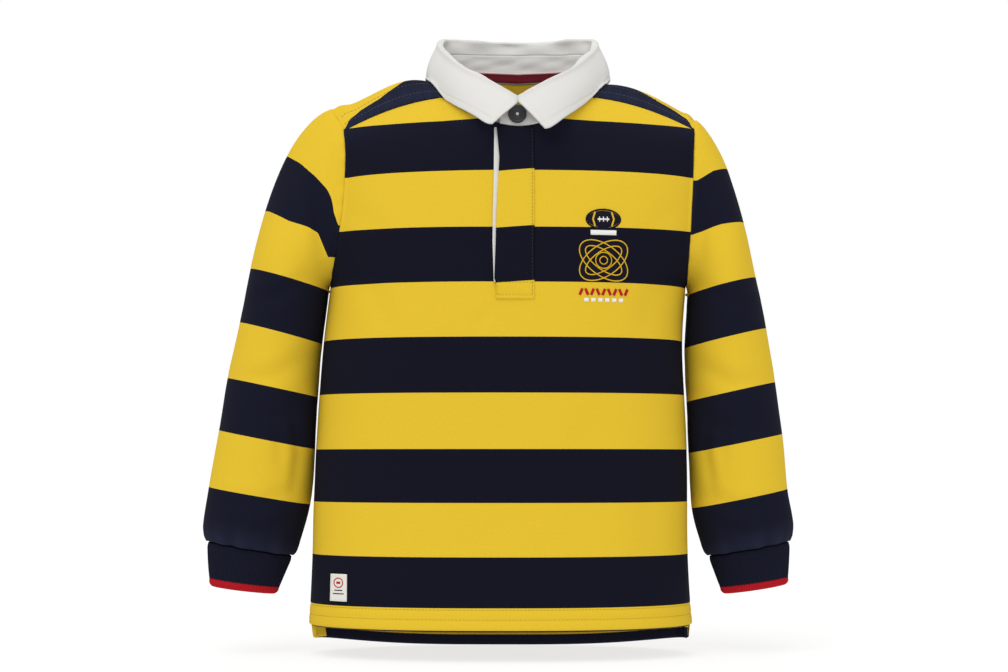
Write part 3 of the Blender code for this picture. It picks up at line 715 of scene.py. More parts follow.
def make_object(name, points, faces, material, parts="root"):
    data = bpy.data.meshes.new(name)
    data.from_pydata((np.asarray(points) * MM).tolist(), [], faces)
    data.materials.append(material)
    data.shade_smooth()
    item = bpy.data.objects.new(name, data)
    bpy.context.scene.collection.objects.link(item)
    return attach(item, parts)


def shell(name, grid, depth, material, closed=False, flip=False, values=None, pitch=(2.0, 2.0)):
    """Cloth wall: the grid, the same grid moved in by the depth, and rounded edges.

    values names numbers for each point of the grid, or a pair of them for its two faces.
    """
    height, width = grid.shape[:2]
    normals = normals_of(grid, closed) * (1.0 if flip else -1.0)
    depth = np.broadcast_to(np.asarray(depth, float).reshape(-1, 1, 1), (height, 1, 1))
    inner = grid + normals * depth
    middle = (grid + inner) / 2
    rims = []
    for edge, near in ((0, 1), (height - 1, height - 2)):
        way = grid[edge] - grid[near]
        way /= np.maximum(np.linalg.norm(way, axis=1, keepdims=True), 1e-9)
        rims.append(middle[edge] + way * depth[edge] * 0.35)
    points = np.concatenate([grid.reshape(-1, 3), inner.reshape(-1, 3), rims[0], rims[1]])
    count = height * width
    index = np.arange(count).reshape(height, width)
    if closed:
        index = np.concatenate([index, index[:, :1]], axis=1)
    a, b = index[:-1, :-1], index[:-1, 1:]
    c, d = index[1:, 1:], index[1:, :-1]
    outside = np.stack([a, d, c, b], -1).reshape(-1, 4)
    inside = np.stack([a, b, c, d], -1).reshape(-1, 4) + count
    foot = np.arange(width) + 2 * count
    head = foot + width
    if closed:
        foot = np.append(foot, foot[0])
        head = np.append(head, head[0])
    faces = [outside, inside]
    for edge, rim, turned in ((index[0], foot, False), (index[-1], head, True)):
        low = np.stack([edge[:-1], edge[1:], rim[1:], rim[:-1]], -1)
        high = np.stack([rim[:-1], rim[1:], edge[1:] + count, edge[:-1] + count], -1)
        both = np.concatenate([low, high])
        faces.append(both[:, ::-1] if turned else both)
    if not closed:
        for edge, turned in ((index[:, 0], True), (index[:, -1], False)):
            side = np.stack([edge[:-1], edge[1:], edge[1:] + count, edge[:-1] + count], -1)
            faces.append(side[:, ::-1] if turned else side)
            ends = [[edge[0], edge[0] + count, foot[0] if turned else foot[-1]],
                    [edge[-1] + count, edge[-1], head[0] if turned else head[-1]]]
            faces.append([end[::-1] if turned else end for end in ends])
    faces = [list(map(int, face)) for part in faces for face in part]
    if flip:
        faces = [face[::-1] for face in faces]
    item = make_object(name + "_cloth", points, faces, material)
    mesh = item.data
    for key, value in (values or {}).items():
        face, back = value if isinstance(value, tuple) else (value, value)
        whole = np.concatenate([face.ravel(), back.ravel(), face[0], face[-1]]).astype(float)
        mesh.attributes.new(key, "FLOAT", "POINT").data.foreach_set("value", whole)
    u, v = np.meshgrid(np.arange(width) * pitch[0], np.arange(height) * pitch[1])
    u = np.concatenate([u.ravel(), u.ravel(), u[0], u[-1]])
    v = np.concatenate([v.ravel(), v.ravel(), v[0], v[-1]])
    corner = np.empty(len(mesh.loops), np.int32)
    mesh.loops.foreach_get("vertex_index", corner)
    layer = mesh.uv_layers.new(name="cloth")
    layer.data.foreach_set("uv", np.stack([u[corner], v[corner]], -1).astype(np.float32).ravel() * MM)
    return item


def joined(parts):
    """One list of points and one of faces from several."""
    points = []
    faces = []
    for more_points, more_faces in parts:
        base = len(points)
        points += list(more_points)
        faces += [[base + corner for corner in face] for face in more_faces]
    return points, faces


def thread_bit(start, end, normal, radius):
    """One stitch: a short rounded thread that dips into the cloth at both ends."""
    way = end - start
    side = np.cross(way, normal)
    side /= max(np.linalg.norm(side), 1e-9)
    points = [start - normal * radius]
    shares = (0.12, 0.5, 0.88)
    widths = (0.75, 1.0, 0.75)
    lifts = (0.15, 0.55, 0.15)
    for share, width, lift in zip(shares, widths, lifts):
        middle = start + way * share + normal * radius * lift
        for k in range(5):
            turn = 2 * math.pi * k / 5
            points.append(middle + (side * math.cos(turn) + normal * math.sin(turn)) * radius * width)
    points.append(end - normal * radius)
    faces = []
    for k in range(5):
        after = (k + 1) % 5
        faces.append([0, 1 + after, 1 + k])
        for ring in (0, 5):
            faces.append([1 + ring + k, 1 + ring + after, 6 + ring + after, 6 + ring + k])
        faces.append([11 + k, 11 + after, 16])
    return points, faces


def stitches(line, normals, length, gap, radius):
    """Stitches along a line of points on the cloth."""
    line = np.asarray(line)
    normals = np.asarray(normals)
    steps = np.linalg.norm(np.diff(line, axis=0), axis=1)
    reach = np.concatenate([[0.0], np.cumsum(steps)])
    bits = []
    place = gap / 2
    while place + length < reach[-1]:
        ends = [np.array([np.interp(at, reach, line[:, k]) for k in range(3)])
                for at in (place, place + length)]
        normal = np.array([np.interp(place + length / 2, reach, normals[:, k]) for k in range(3)])
        bits.append(thread_bit(ends[0], ends[1], normal / np.linalg.norm(normal), radius))
        place += length + gap
    return bits


def mark(name, parts, material):
    """One object of several raised bits."""
    points, faces = joined(parts)
    item = make_object(name, points, faces, material)


def sewn(name, runs, material):
    """One object of stitches along several lines."""
    bits = []
    for run in runs:
        bits += stitches(*run)
    mark(name, bits, material)


def grid_line(grid, normals, rows, columns):
    """Points and normals along a path given by its rows and columns in a grid."""
    line = [picked(grid, row, column) for row, column in zip(rows, columns)]
    ways = [picked(normals, row, column) for row, column in zip(rows, columns)]
    return line, ways


def ring_faces(rings, sides):
    """Faces of a round piece from ring to ring, with both ends closed."""
    faces = []
    for i in range(rings - 1):
        for k in range(sides):
            a = i * sides + k
            b = i * sides + (k + 1) % sides
            faces.append([a, b, b + sides, a + sides])
    faces.append(list(range(sides))[::-1])
    faces.append([(rings - 1) * sides + k for k in range(sides)])
    return faces


def tube(name, line, radius, material, sides=10):
    """Cord along a line of points."""
    line = np.asarray(line)
    ways = np.gradient(line, axis=0)
    ways /= np.linalg.norm(ways, axis=1, keepdims=True)
    up = np.array([0.0, 0.0, 1.0])
    points = []
    for place, way in zip(line, ways):
        side = np.cross(way, up)
        side /= np.linalg.norm(side)
        over = np.cross(side, way)
        for k in range(sides):
            turn = 2 * math.pi * k / sides
            points.append(place + (side * math.cos(turn) + over * math.sin(turn)) * radius)
    return make_object(name, points, ring_faces(len(line), sides), material)


# Relief: creases, dips at seams and the cloth's slight unevenness

def polyline_reach(x, z, path):
    """Distance to a path in the XZ plane, and the share along it."""
    best = np.full(x.shape, 1e9)
    share = np.zeros(x.shape)
    count = len(path) - 1
    for k, ((x0, z0), (x1, z1)) in enumerate(zip(path, path[1:])):
        dx = x1 - x0
        dz = z1 - z0
        along = np.clip(((x - x0) * dx + (z - z0) * dz) / (dx * dx + dz * dz), 0, 1)
        reach = np.hypot(x - x0 - along * dx, z - z0 - along * dz)
        near = reach < best
        best = np.where(near, reach, best)
        share = np.where(near, (k + along) / count, share)
    return best, share


def creased(grid, creases):
    """Height of the given creases: each a path, a width and a depth, with soft shoulders."""
    x = grid[..., 0]
    z = grid[..., 2]
    height = np.zeros(x.shape)
    for path, width, depth in creases:
        reach, share = polyline_reach(x, z, path)
        fade = np.sin(np.pi * np.clip(share, 0.02, 0.98)) ** 0.6
        height -= depth * fade * np.exp(-(reach / width) ** 2)
        height += 0.4 * depth * fade * np.exp(-((reach - 1.8 * width) / width) ** 2)
    return height


def uneven(grid, size, scale, seed=0.0):
    """Gentle unevenness of hand-laid cloth, from a few crossed waves."""
    x, y, z = (grid[..., k] / scale for k in range(3))
    wave = (np.sin(1.3 * x + 0.7 * z + seed + 0.6 * np.sin(0.9 * z + seed))
            + np.sin(0.8 * z - 1.1 * x + 2.1 * y + 1.7 * seed)
            + 0.6 * np.sin(2.3 * x + 1.9 * z + 1.3 * y + 0.9 * seed)
            + 0.4 * np.sin(3.7 * z - 2.9 * x + 0.4 * seed))
    return size * wave / 3.0


def edge_dip(count, first, last, depth, reach):
    """Dip of a row of points at its first and last ones, where a seam draws the cloth in."""
    place = np.arange(count)
    dip = np.zeros(count)
    if first:
        dip += np.exp(-(place / reach) ** 2)
    if last:
        dip += np.exp(-((count - 1 - place) / reach) ** 2)
    return -depth * dip


def stitch_dip(count, at, depth, reach=0.8):
    """Dip of a row of points at some of them, where a line of stitches presses the cloth."""
    place = np.arange(count)
    return -depth * sum(np.exp(-((place - k) / reach) ** 2) for k in at)


# Materials

def shader_of(name, roughness):
    material = bpy.data.materials.new(name)
    material.use_nodes = True
    nodes = material.node_tree.nodes
    shader = nodes["Principled BSDF"]
    shader.inputs["Roughness"].default_value = roughness
    shader.inputs["Specular IOR Level"].default_value = SPECULAR
    return material, nodes, material.node_tree.links, shader


def node(nodes, kind, **values):
    item = nodes.new(kind)
    for key, value in values.items():
        setattr(item, key, value)
    return item


def weave(nodes, links, shader, scale, strength, distance, stretch=(1.0, 1.0, 1.0)):
    """Fine uneven relief of a cloth's surface, in its own coordinates."""
    place = node(nodes, "ShaderNodeTexCoord")
    turn = node(nodes, "ShaderNodeMapping")
    turn.inputs["Scale"].default_value = stretch
    noise = node(nodes, "ShaderNodeTexNoise")
    noise.inputs["Scale"].default_value = scale
    noise.inputs["Detail"].default_value = 3.0
    bump = node(nodes, "ShaderNodeBump")
    bump.inputs["Strength"].default_value = strength
    bump.inputs["Distance"].default_value = distance
    links.new(place.outputs["UV"], turn.inputs["Vector"])
    links.new(turn.outputs["Vector"], noise.inputs["Vector"])
    links.new(noise.outputs["Fac"], bump.inputs["Height"])
    links.new(bump.outputs["Normal"], shader.inputs["Normal"])
    return noise


def tinted(nodes, links, noise, colour, spread):
    """Colour with a slight variation from the noise."""
    darker = tuple(c * (1.0 - spread) for c in colour[:3]) + (1.0,)
    lighter = tuple(min(c * (1.0 + spread), 1.0) for c in colour[:3]) + (1.0,)
    mix = node(nodes, "ShaderNodeMix", data_type="RGBA")
    links.new(noise.outputs["Fac"], mix.inputs["Factor"])
    mix.inputs["A"].default_value = darker
    mix.inputs["B"].default_value = lighter
    return mix.outputs["Result"]


def striped(name, even, odd, stretch, scale=900.0):
    """Cloth in two colours by the mesh's band value: even bands and odd ones."""
    material, nodes, links, shader = shader_of(name, CLOTH_ROUGHNESS)
    noise = weave(nodes, links, shader, scale, 0.35, 0.0004, stretch)
    band = node(nodes, "ShaderNodeAttribute", attribute_name="band")
    wrapped = node(nodes, "ShaderNodeMath", operation="FLOORED_MODULO")
    wrapped.inputs[1].default_value = 2.0
    step = node(nodes, "ShaderNodeMath", operation="GREATER_THAN")
    step.inputs[1].default_value = 1.0
    links.new(band.outputs["Fac"], wrapped.inputs[0])
    links.new(wrapped.outputs["Value"], step.inputs[0])
    mix = node(nodes, "ShaderNodeMix", data_type="RGBA")
    links.new(step.outputs["Value"], mix.inputs["Factor"])
    # Even bands are drawn towards a lighter navy by a per-point value: part wear, part painted sheen
    wear_and_sheen = node(nodes, "ShaderNodeAttribute", attribute_name="wear_and_sheen")
    faded_and_lit = node(nodes, "ShaderNodeMix", data_type="RGBA")
    links.new(wear_and_sheen.outputs["Fac"], faded_and_lit.inputs["Factor"])
    links.new(tinted(nodes, links, noise, even, 0.22), faded_and_lit.inputs["A"])
    faded_and_lit.inputs["B"].default_value = NAVY_WEAR_AND_SHEEN
    links.new(faded_and_lit.outputs["Result"], mix.inputs["A"])
    links.new(tinted(nodes, links, noise, odd, 0.06), mix.inputs["B"])
    links.new(mix.outputs["Result"], shader.inputs["Base Color"])
    return material


def plain(name, colour, roughness=0.9, scale=900.0, strength=0.3, stretch=(1.0, 1.0, 1.0), spread=0.05):
    """Cloth in one colour."""
    material, nodes, links, shader = shader_of(name, roughness)
    noise = weave(nodes, links, shader, scale, strength, 0.0004, stretch)
    links.new(tinted(nodes, links, noise, colour, spread), shader.inputs["Base Color"])
    return material


def smooth(name, colour, roughness):
    """Thread, resin or floor in one colour."""
    material, nodes, links, shader = shader_of(name, roughness)
    shader.inputs["Base Color"].default_value = colour
    return material


def make_materials():
    return {
        "jersey": striped("jersey", NAVY, YELLOW, (1.0, 0.55, 1.0)),
        "rib": striped("rib", NAVY, RED, (1.0, 0.3, 1.0)),
        "twill": plain("twill", WHITE, 0.85, 1100.0, 0.35, (1.0, 0.4, 1.0), 0.02),
        "tape": plain("tape", BURGUNDY, 0.85, 1400.0, 0.5, (0.3, 1.0, 1.0), 0.15),
        "piping": plain("piping", PIPING, 0.8),
        "label": plain("label", LABEL_COLOUR, 0.7, 2200.0, 0.25),
        "button": smooth("button", BUTTON_COLOUR, 0.32),
        "metal": smooth("button middle", BUTTON_MIDDLE, 0.35),
        "thread_white": smooth("white thread", THREAD_WHITE, 0.7),
        "thread_grey": smooth("grey thread", THREAD_GREY, 0.7),
        "thread_cream": smooth("cream thread", THREAD_CREAM, 0.7),
        "thread_dull": smooth("dull thread", THREAD_DULL, 0.7),
        "thread_gold": smooth("golden thread", THREAD_GOLD, 0.7),
        "thread_ochre": smooth("ochre thread", THREAD_OCHRE, 0.7),
        "thread_navy": smooth("navy thread", NAVY, 0.7),
        "thread_red": smooth("red thread", RED, 0.7),
    }


# Body panels

def band_of_height(z):
    """Stripe number at a height: whole numbers at the stripe edges, top to bottom."""
    edges = np.array((STRIPE_EDGES[0] + 2 * FRONT_BAND, STRIPE_EDGES[0] + FRONT_BAND) + STRIPE_EDGES)
    numbers = np.append([-1.4, -1.0], np.arange(len(STRIPE_EDGES)))
    return np.interp(-z, -edges, numbers)


def front_place(row, t):
    if row <= 0.0:
        return torso_point(UNDERARM + row, t, -1)
    return panel_point(t, min(row, FRONT_STEPS - SHOULDER_SPLIT), -1)


def back_place(row, t):
    if row <= 1.0:
        foot = back_hem(t)
        return torso_point(foot + (UNDERARM - foot) * row, t, 1)
    step = RING_STEPS - (row - 1.0)
    return panel_point(t, max(step, FRONT_STEPS + SHOULDER_SPLIT), 1)


def panel_grid(place, rows):
    """Fine grid of a panel from its coarse rows."""
    coarse = sample(place, rows, column_values(PANEL_COLUMNS))
    return refined(refined(coarse, ROW_FACTOR, 0), COLUMN_FACTOR, 1)


def sewn_in(relief, side_rows, top, hem_lines):
    """A panel's relief with its seams: top says how its top edge dips or stands up along its width."""
    rows, width = relief.shape
    relief = relief * (1.0 - np.exp(-((rows - 1 - np.arange(rows)) / TOP_HOLD_ROWS) ** 2))[:, None]
    relief += edge_dip(rows, False, True, TOP_DIP, 1.2)[:, None] * top
    relief += stitch_dip(rows, hem_lines, HEM_STITCH_DIP)[:, None]
    relief[:side_rows] += edge_dip(width, True, True, SIDE_DIP, 1.1)[None, :]
    relief[side_rows:] += edge_dip(width, True, True, -ARMHOLE_RIDGE, 1.1)[None, :]
    return relief


def panel_walls(rows, hem_lines):
    return np.where(np.arange(rows) < hem_lines[-1] + 1, HEM_WALL, JERSEY)


def edge_wear_and_sheen(rows, width):
    """How much lighter navy a panel gets, part wear and part painted sheen: most along its top edge, then its
    sides and hem.
    """
    up = np.arange(rows)[:, None]
    across = np.arange(width)[None, :]
    side = np.minimum(across, width - 1 - across)
    sheen_and_wear = np.exp(-((rows - 1 - up) / 5.0) ** 2) + 0.35 * np.exp(-(side / 3.0) ** 2)
    sheen_and_wear = sheen_and_wear + 0.3 * np.exp(-(up / 4.0) ** 2)
    return np.clip(0.8 * sheen_and_wear * (0.9 + 0.1 * np.sin(across * 0.9 + 2.0 * np.sin(across * 0.23))), 0, 1)


def make_front(kit):
    low = stepped(STRIPE_EDGES[-1] - UNDERARM, 0.0, FRONT_LOW_SPANS)
    high = stepped(0.0, FRONT_STEPS, FRONT_HIGH_SPANS)[1:]
    grid = panel_grid(front_place, low + high)
    side_rows = FRONT_LOW_SPANS * ROW_FACTOR + 1
    grid[:side_rows, 0, 1] -= SIDE_GAP
    grid[:side_rows, -1, 1] -= SIDE_GAP
    signed = np.linspace(-1, 1, grid.shape[1])[None, :]
    across = np.abs(signed)
    low_rows = np.exp(-(np.arange(grid.shape[0]) / FLARE_ROWS) ** 2)[:, None]
    grid[..., 0] += HEM_FLARE * low_rows * across ** 24 * signed
    climb = np.clip((grid[..., 2] - STRIPE_LIFT_FROM) / STRIPE_LIFT_OVER, 0.0, 1.0)
    bands = band_of_height(grid[..., 2] + STRIPE_LIFT * climb * across ** 2)
    rows, width = grid.shape[:2]
    normals = normals_of(grid)
    relief = creased(grid, FRONT_CREASES) + uneven(grid, 0.45, 46.0)
    relief = sewn_in(relief, side_rows, np.where(across > NECK_SHARE, 1.0, -1.0), FRONT_HEM_LINES)
    # Lighter navy along the front's edges: part wear, part painted sheen
    wear_and_sheen = FRONT_WEAR_AND_SHEEN * edge_wear_and_sheen(rows, width)
    grid = grid + normals * relief[..., None]
    kit["front"] = (grid, normals)
    walls = panel_walls(rows, FRONT_HEM_LINES)
    item = shell("front", grid, walls, kit["jersey"], values={"band": bands, "wear_and_sheen": wear_and_sheen})
    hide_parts("front")
    return item


def make_back(kit):
    low = stepped(0.0, 1.0, BACK_LOW_SPANS)
    high = [1.0 + value for value in stepped(0.0, RING_STEPS - FRONT_STEPS, BACK_HIGH_SPANS)[1:]]
    grid = panel_grid(back_place, low + high)
    side_rows = BACK_LOW_SPANS * ROW_FACTOR + 1
    grid[:side_rows, 0, 1] += SIDE_GAP
    grid[:side_rows, -1, 1] += SIDE_GAP
    rows, width = grid.shape[:2]
    arc = np.zeros(grid.shape[:2])
    arc[side_rows:] = np.cumsum(np.linalg.norm(np.diff(grid[side_rows - 1:], axis=0), axis=2), axis=0)
    share = np.abs(np.linspace(-1, 1, width))
    rise = arc[-1]
    neck = LENS_MIDDLE + (LENS_NECK - LENS_MIDDLE) * np.minimum(share / NECK_SHARE, 1.0) ** 3
    level = np.where(share < NECK_SHARE, neck, LENS_LOW + np.interp(share, *zip(*LENS)))
    over = np.clip((arc / rise - LENS_START) / (1.0 - LENS_START), 0.0, 1.0)
    over = over * over * (3.0 - 2.0 * over)
    cloth = np.where(np.arange(rows)[:, None] < side_rows, grid[..., 2],
                     UNDERARM + arc + over * (level - UNDERARM - rise))
    edges = np.array([LENS_LOW - BACK_BAND * k for k in range(4)] + list(STRIPE_EDGES[3:]))
    bands = np.interp(-cloth, -np.array([edges[0] + BACK_BAND] + list(edges)),
                      np.array([-2.0] + list(range(-1, len(edges) - 1)), dtype=float))
    bands = np.minimum(bands, len(edges) - 2 - 0.02)
    normals = -normals_of(grid)
    relief = uneven(grid, 0.6, 50.0, 2.0) + creased(grid, BACK_CREASES)
    relief = sewn_in(relief, side_rows, np.where(share > NECK_SHARE, 1.0, -0.6), BACK_HEM_LINES)
    climb = arc / rise
    crest = np.clip((1.0 - climb) / 0.05, 0.0, 1.0) * np.clip((climb - 0.5) / 0.3, 0.0, 1.0)
    column = np.minimum(np.arange(width), width - 1 - np.arange(width))
    lift = CREST_LIFT * np.exp(-((column - CREST_COLUMN) / CREST_REACH) ** 2)
    drop = CREST_DROP * np.exp(-(column / CREST_DROP_REACH) ** 2)
    grid[..., 2] += crest * (lift - drop)
    # Lighter navy along the back's edges: part wear, part painted sheen
    wear_and_sheen = edge_wear_and_sheen(rows, width)
    grid = grid + normals * relief[..., None]
    kit["back"] = (grid, normals)
    walls = panel_walls(rows, BACK_HEM_LINES)
    turned_up = (np.arange(rows)[:, None] < ALLOWANCE_ROWS - 1) & (np.arange(width)[None, :] > CORNER_COLUMNS)
    inside = np.where(turned_up, len(edges) - 1.5, bands)
    bands[0, CORNER_COLUMNS + 1:] = len(edges) - 1.7
    item = shell("back", grid, walls, kit["jersey"], flip=True,
                 values={"band": (bands, inside), "wear_and_sheen": wear_and_sheen})
    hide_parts("back")
    return item


# Sleeves and cuffs

def below_edge(grid, edge):
    """How far points lie under a stripe edge, given by its x and z in rising x."""
    xs, zs = zip(*sorted(edge))
    return np.interp(grid[..., 0], xs, zs) - grid[..., 2]


def sleeve_place(side, row, step):
    if row < 0.0:
        return cap_point(side, step, 1.0 + row)
    return ring_point(SLEEVES[side], row, step / RING_STEPS)


def make_sleeve(kit, side):
    cap = [value - 1.0 for value in stepped(0.0, 1.0, CAP_SPANS)[:-1]]
    rows = cap + stepped(0.0, 5.0, SLEEVE_SPANS)
    steps = [k / 2 for k in range(2 * RING_STEPS)]
    coarse = sample(lambda row, step: sleeve_place(side, row, step), rows, steps)
    grid = refined(refined(coarse, ROW_FACTOR, 0), 3, 1, closed=True)
    count, width = grid.shape[:2]
    cap_rows = CAP_SPANS * ROW_FACTOR
    flip = side == "right"
    normals = normals_of(grid, True)
    first, second, third = (below_edge(grid[:cap_rows], edge) for edge in CAP_BANDS[side])
    band = np.where(first < 0, -2.0 + np.maximum(first / 60.0, -0.95),
                    np.where(second < 0, -2.0 + first / np.maximum(first - second, 1e-6),
                             -1.0 + second / np.maximum(second - np.minimum(third, 0), 1e-6)))
    below = np.linspace(0.0, 5.0, count - cap_rows)[:, None] * np.ones((1, width))
    bands = np.concatenate([np.minimum(band, -0.001), np.minimum(below, 4.99)])
    relief = creased(grid, SLEEVE_CREASES[side]) + uneven(grid, 0.7, 38.0, 4.0 if flip else 1.0)
    place = np.arange(count)[:, None]
    turn = np.arange(width)[None, :] / width * 2 * math.pi
    gathers = np.sin(turn * 9 + 0.8 * np.sin(3 * turn)) + 0.6 * np.sin(turn * 15 + 1.0)
    relief += 0.55 * gathers * np.exp(-((count - 1 - place) / 9.0) ** 2)
    relief += 0.25 * np.sin(turn * 23) * np.exp(-(place / 5.0) ** 2)
    relief += (edge_dip(count, True, False, 0.5, 1.3)[:, None]
               + edge_dip(count, False, True, 1.2, 1.3)[:, None])
    away = (normals * (grid - grid.mean(axis=1, keepdims=True))).sum()
    out = normals if away > 0 else -normals
    grid = grid + out * relief[..., None]
    # Lighter navy near the cuff seam and the cap, brightest on the gathers' crests: part wear, part painted
    # sheen on the folds
    wear_and_sheen = 0.9 * np.exp(-((count - 1 - place) / 7.0) ** 2) + 0.4 * np.exp(-(place / 3.0) ** 2)
    wear_and_sheen = SLEEVE_WEAR_AND_SHEEN * wear_and_sheen * (0.85 + 0.15 * gathers) + SLEEVE_WEAR_AND_SHEEN_ALL_OVER
    item = shell("sleeve_" + side, grid, JERSEY, kit["jersey"], closed=True, flip=flip,
                 values={"band": bands, "wear_and_sheen": np.clip(wear_and_sheen, 0, 1)})
    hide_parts("sleeve_" + side)
    return item


def make_cuff(kit, side):
    """Ribbed tube: rounded ribs, deeper towards the open edge, and a tipped edge."""
    table = CUFFS[side]
    columns = RIBS * RIB_COLUMNS
    coarse = sample(lambda row, share: ring_point(table, row, share), stepped(0.0, 2.0, CUFF_SPANS),
                    [k / CUFF_STEPS for k in range(CUFF_STEPS)])
    grid = refined(coarse, 3, 0)
    fine = np.empty((grid.shape[0], columns, 3))
    around = np.arange(columns) / columns * CUFF_STEPS
    wrapped = np.concatenate([grid, grid[:, :1]], axis=1)
    for k in range(3):
        for i in range(grid.shape[0]):
            fine[i, :, k] = np.interp(around, np.arange(CUFF_STEPS + 1), wrapped[i, :, k])
    for _ in range(6):
        fine = (np.roll(fine, RIB_COLUMNS, 1) + np.roll(fine, -RIB_COLUMNS, 1) + 2 * fine) / 4
    count = fine.shape[0]
    middle = fine.mean(axis=1, keepdims=True)
    out = fine - middle
    out /= np.linalg.norm(out, axis=2, keepdims=True)
    turn = np.arange(columns)[None, :] / columns * 2 * math.pi
    down = np.linspace(0.0, 1.0, count)[:, None]
    ribs = np.cos(turn * RIBS)
    relief = RIB_HEIGHT * ribs * (0.7 + 0.3 * down)
    relief += 0.5 * np.sin(turn * 3 + down * 2.0) * down
    relief -= 1.0 * np.exp(-(down / 0.06) ** 2)
    relief += 0.4 * np.exp(-((down - 0.9) / 0.05) ** 2) - 1.3 * np.clip((down - 0.93) / 0.07, 0, 1) ** 2
    grid = fine + out * relief[..., None]
    bands = 1.0 + np.clip((down - 1.0 + TIP_SHARE - 0.012 * ribs) / 0.04, -0.5, 0.5)
    flip = side == "right"
    # The ribs' crests get a lighter navy towards the open edge: painted highlight on the ribs, over a slight
    # even lightening
    item = shell("cuff_" + side, grid, RIB_WALL, kit["rib"], closed=True, flip=flip,
                 values={"band": bands, "wear_and_sheen": 0.1 + 0.25 * np.clip(ribs, 0, 1) * down},
                 pitch=(0.4, 1.7))
    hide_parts("cuff_" + side)
    return item


# Collar

def make_collar(kit):
    carrier = kit["carrier"]
    lines = []
    for index in range(COLLAR_STATIONS + 1):
        seam, roll, edge = collar_station(index / COLLAR_STATIONS)
        half = index / COLLAR_STATIONS * 2.0 - 1.0
        pull = max(abs(half) - 0.84, 0.0) / 0.16 * COLLAR_MEET
        roll.x -= math.copysign(pull, half)
        outward = out_of_neck(roll)
        brow = roll + outward * FALL_STAND_OFF - Vector((0, 0, BROW_DROP))
        line = [seam + Vector((0, 0, COLLAR_GAP)), seam.lerp(roll, 0.6) - outward * ROLL_CROWN / 2,
                roll - outward * ROLL_CROWN - Vector((0, 0, ROLL_CROWN / 2)),
                roll + outward * ROLL_CROWN]
        for row in range(FALL_ROWS + 1):
            share = row / FALL_ROWS
            point = brow.lerp(edge, share) + outward * FALL_BULGE * math.sin(math.pi * share)
            line.append(rest_on(point, carrier, TWILL + FALL_LIFT))
        lines.append([tuple(point) for point in line])
    grid = np.array(lines).transpose(1, 0, 2)
    grid = smoothed(refined(refined(grid, 6, 0), 4, 1), 4)
    normals = normals_of(grid)
    rows, width = grid.shape[:2]
    place = np.arange(rows)[:, None]
    inner = np.clip((20 - place) / 8.0, 0, 1)
    along = np.linspace(0, 1, width)[None, :]
    relief = uneven(grid, 0.35, 14.0) * (1 - inner)
    soft = np.sin(along * 61 + place * 0.16) + 0.8 * np.sin(along * 37 - place * 0.3 + 1.0)
    relief = relief + inner * 0.9 * soft * np.sin(np.pi * np.clip(place / 22.0, 0, 1))
    relief += stitch_dip(rows, (rows - 1 - COLLAR_TOPSTITCH,), 0.3, 1.0)[:, None]
    relief += stitch_dip(width, (3, width - 4), 0.25, 1.0)[None, :] * (1 - inner)
    grid = grid + normals * relief[..., None]
    fall = shell("collar_fall", grid, TWILL, kit["twill"])
    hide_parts("collar_fall")
    line, ways = grid_line(grid, normals, [rows - 1 - COLLAR_TOPSTITCH] * (width - 8),
                           list(range(4, width - 4)))
    runs = [(line, ways, *COLLAR_STITCH)]
    for column in (3, width - 4):
        span = np.arange(rows - 1 - COLLAR_TOPSTITCH, 26, -1)
        line, ways = grid_line(grid, normals, span, [column] * len(span))
        runs.append((line, ways, *COLLAR_STITCH))
    sewn("collar_stitches", runs, kit["thread_cream"])
    return fall


def make_stand(kit):
    shares = [-STAND_CROSS, -STAND_CROSS / 2] + [k / COLLAR_STATIONS for k in range(COLLAR_STATIONS + 1)]
    shares += [1.0 + STAND_CROSS / 2, 1.0 + STAND_CROSS]
    coarse = sample(lambda rise, share: stand_point(share, rise), stepped(0.0, 1.0, 5), shares)
    grid = refined(refined(coarse, 4, 0), 3, 1)
    normals = -normals_of(grid)
    rise = np.linspace(0.0, 1.0, grid.shape[0])[:, None]
    along = np.linspace(0.0, 1.0, grid.shape[1])[None, :]
    open_cloth = np.sin(np.pi * np.clip((rise - 0.38) / 0.6, 0, 1)) * np.sin(np.pi * along) ** 2
    soft = np.sin(along * 47 + rise * 7) + 0.8 * np.sin(along * 83 - rise * 11 + 1.0)
    relief = uneven(grid, 0.3, 9.0) + STAND_CREASE * soft * open_cloth
    grid = grid + normals * relief[..., None]
    stand = shell("collar_stand", grid, TWILL, kit["twill"], flip=True)
    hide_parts("collar_stand")
    kit["stand"] = surface_of([as_vectors(grid)])
    return stand


def make_tape(kit):
    """Burgundy tape inside the back neck, with a pale piping along its top."""
    rows = []
    top = []
    for rise in stepped(TAPE_LOW, TAPE_HIGH, 5):
        row = []
        for k in range(TAPE_STEPS + 1):
            share = (TAPE_FROM + (COLLAR_COLUMNS - 2 * TAPE_FROM) * k / TAPE_STEPS) / COLLAR_COLUMNS
            point = stand_point(share, rise)
            row.append(tuple(point - out_of_neck(point) * (TWILL + SEAM_GAP + TAPE_WALL)))
        rows.append(row)
        top = row
    grid = np.array(rows)
    tape = shell("neck_tape", grid, TAPE_WALL, kit["tape"])
    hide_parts("neck_tape")
    line = [np.array(point) + np.array([0.0, 0.0, PIPING_RADIUS * 0.8]) for point in top]
    piping = tube("neck_piping", line, PIPING_RADIUS, kit["piping"])
    return tape


# Placket, button, label and vents

def free_edge(z):
    """x of the placket's free edge at a height."""
    return np.interp(z, *zip(*sorted(PLACKET_EDGE)))


def under_edge(z):
    """x of the edge of the white facing that shows beside it."""
    return np.interp(z, *zip(*sorted(FACING_EDGE)))


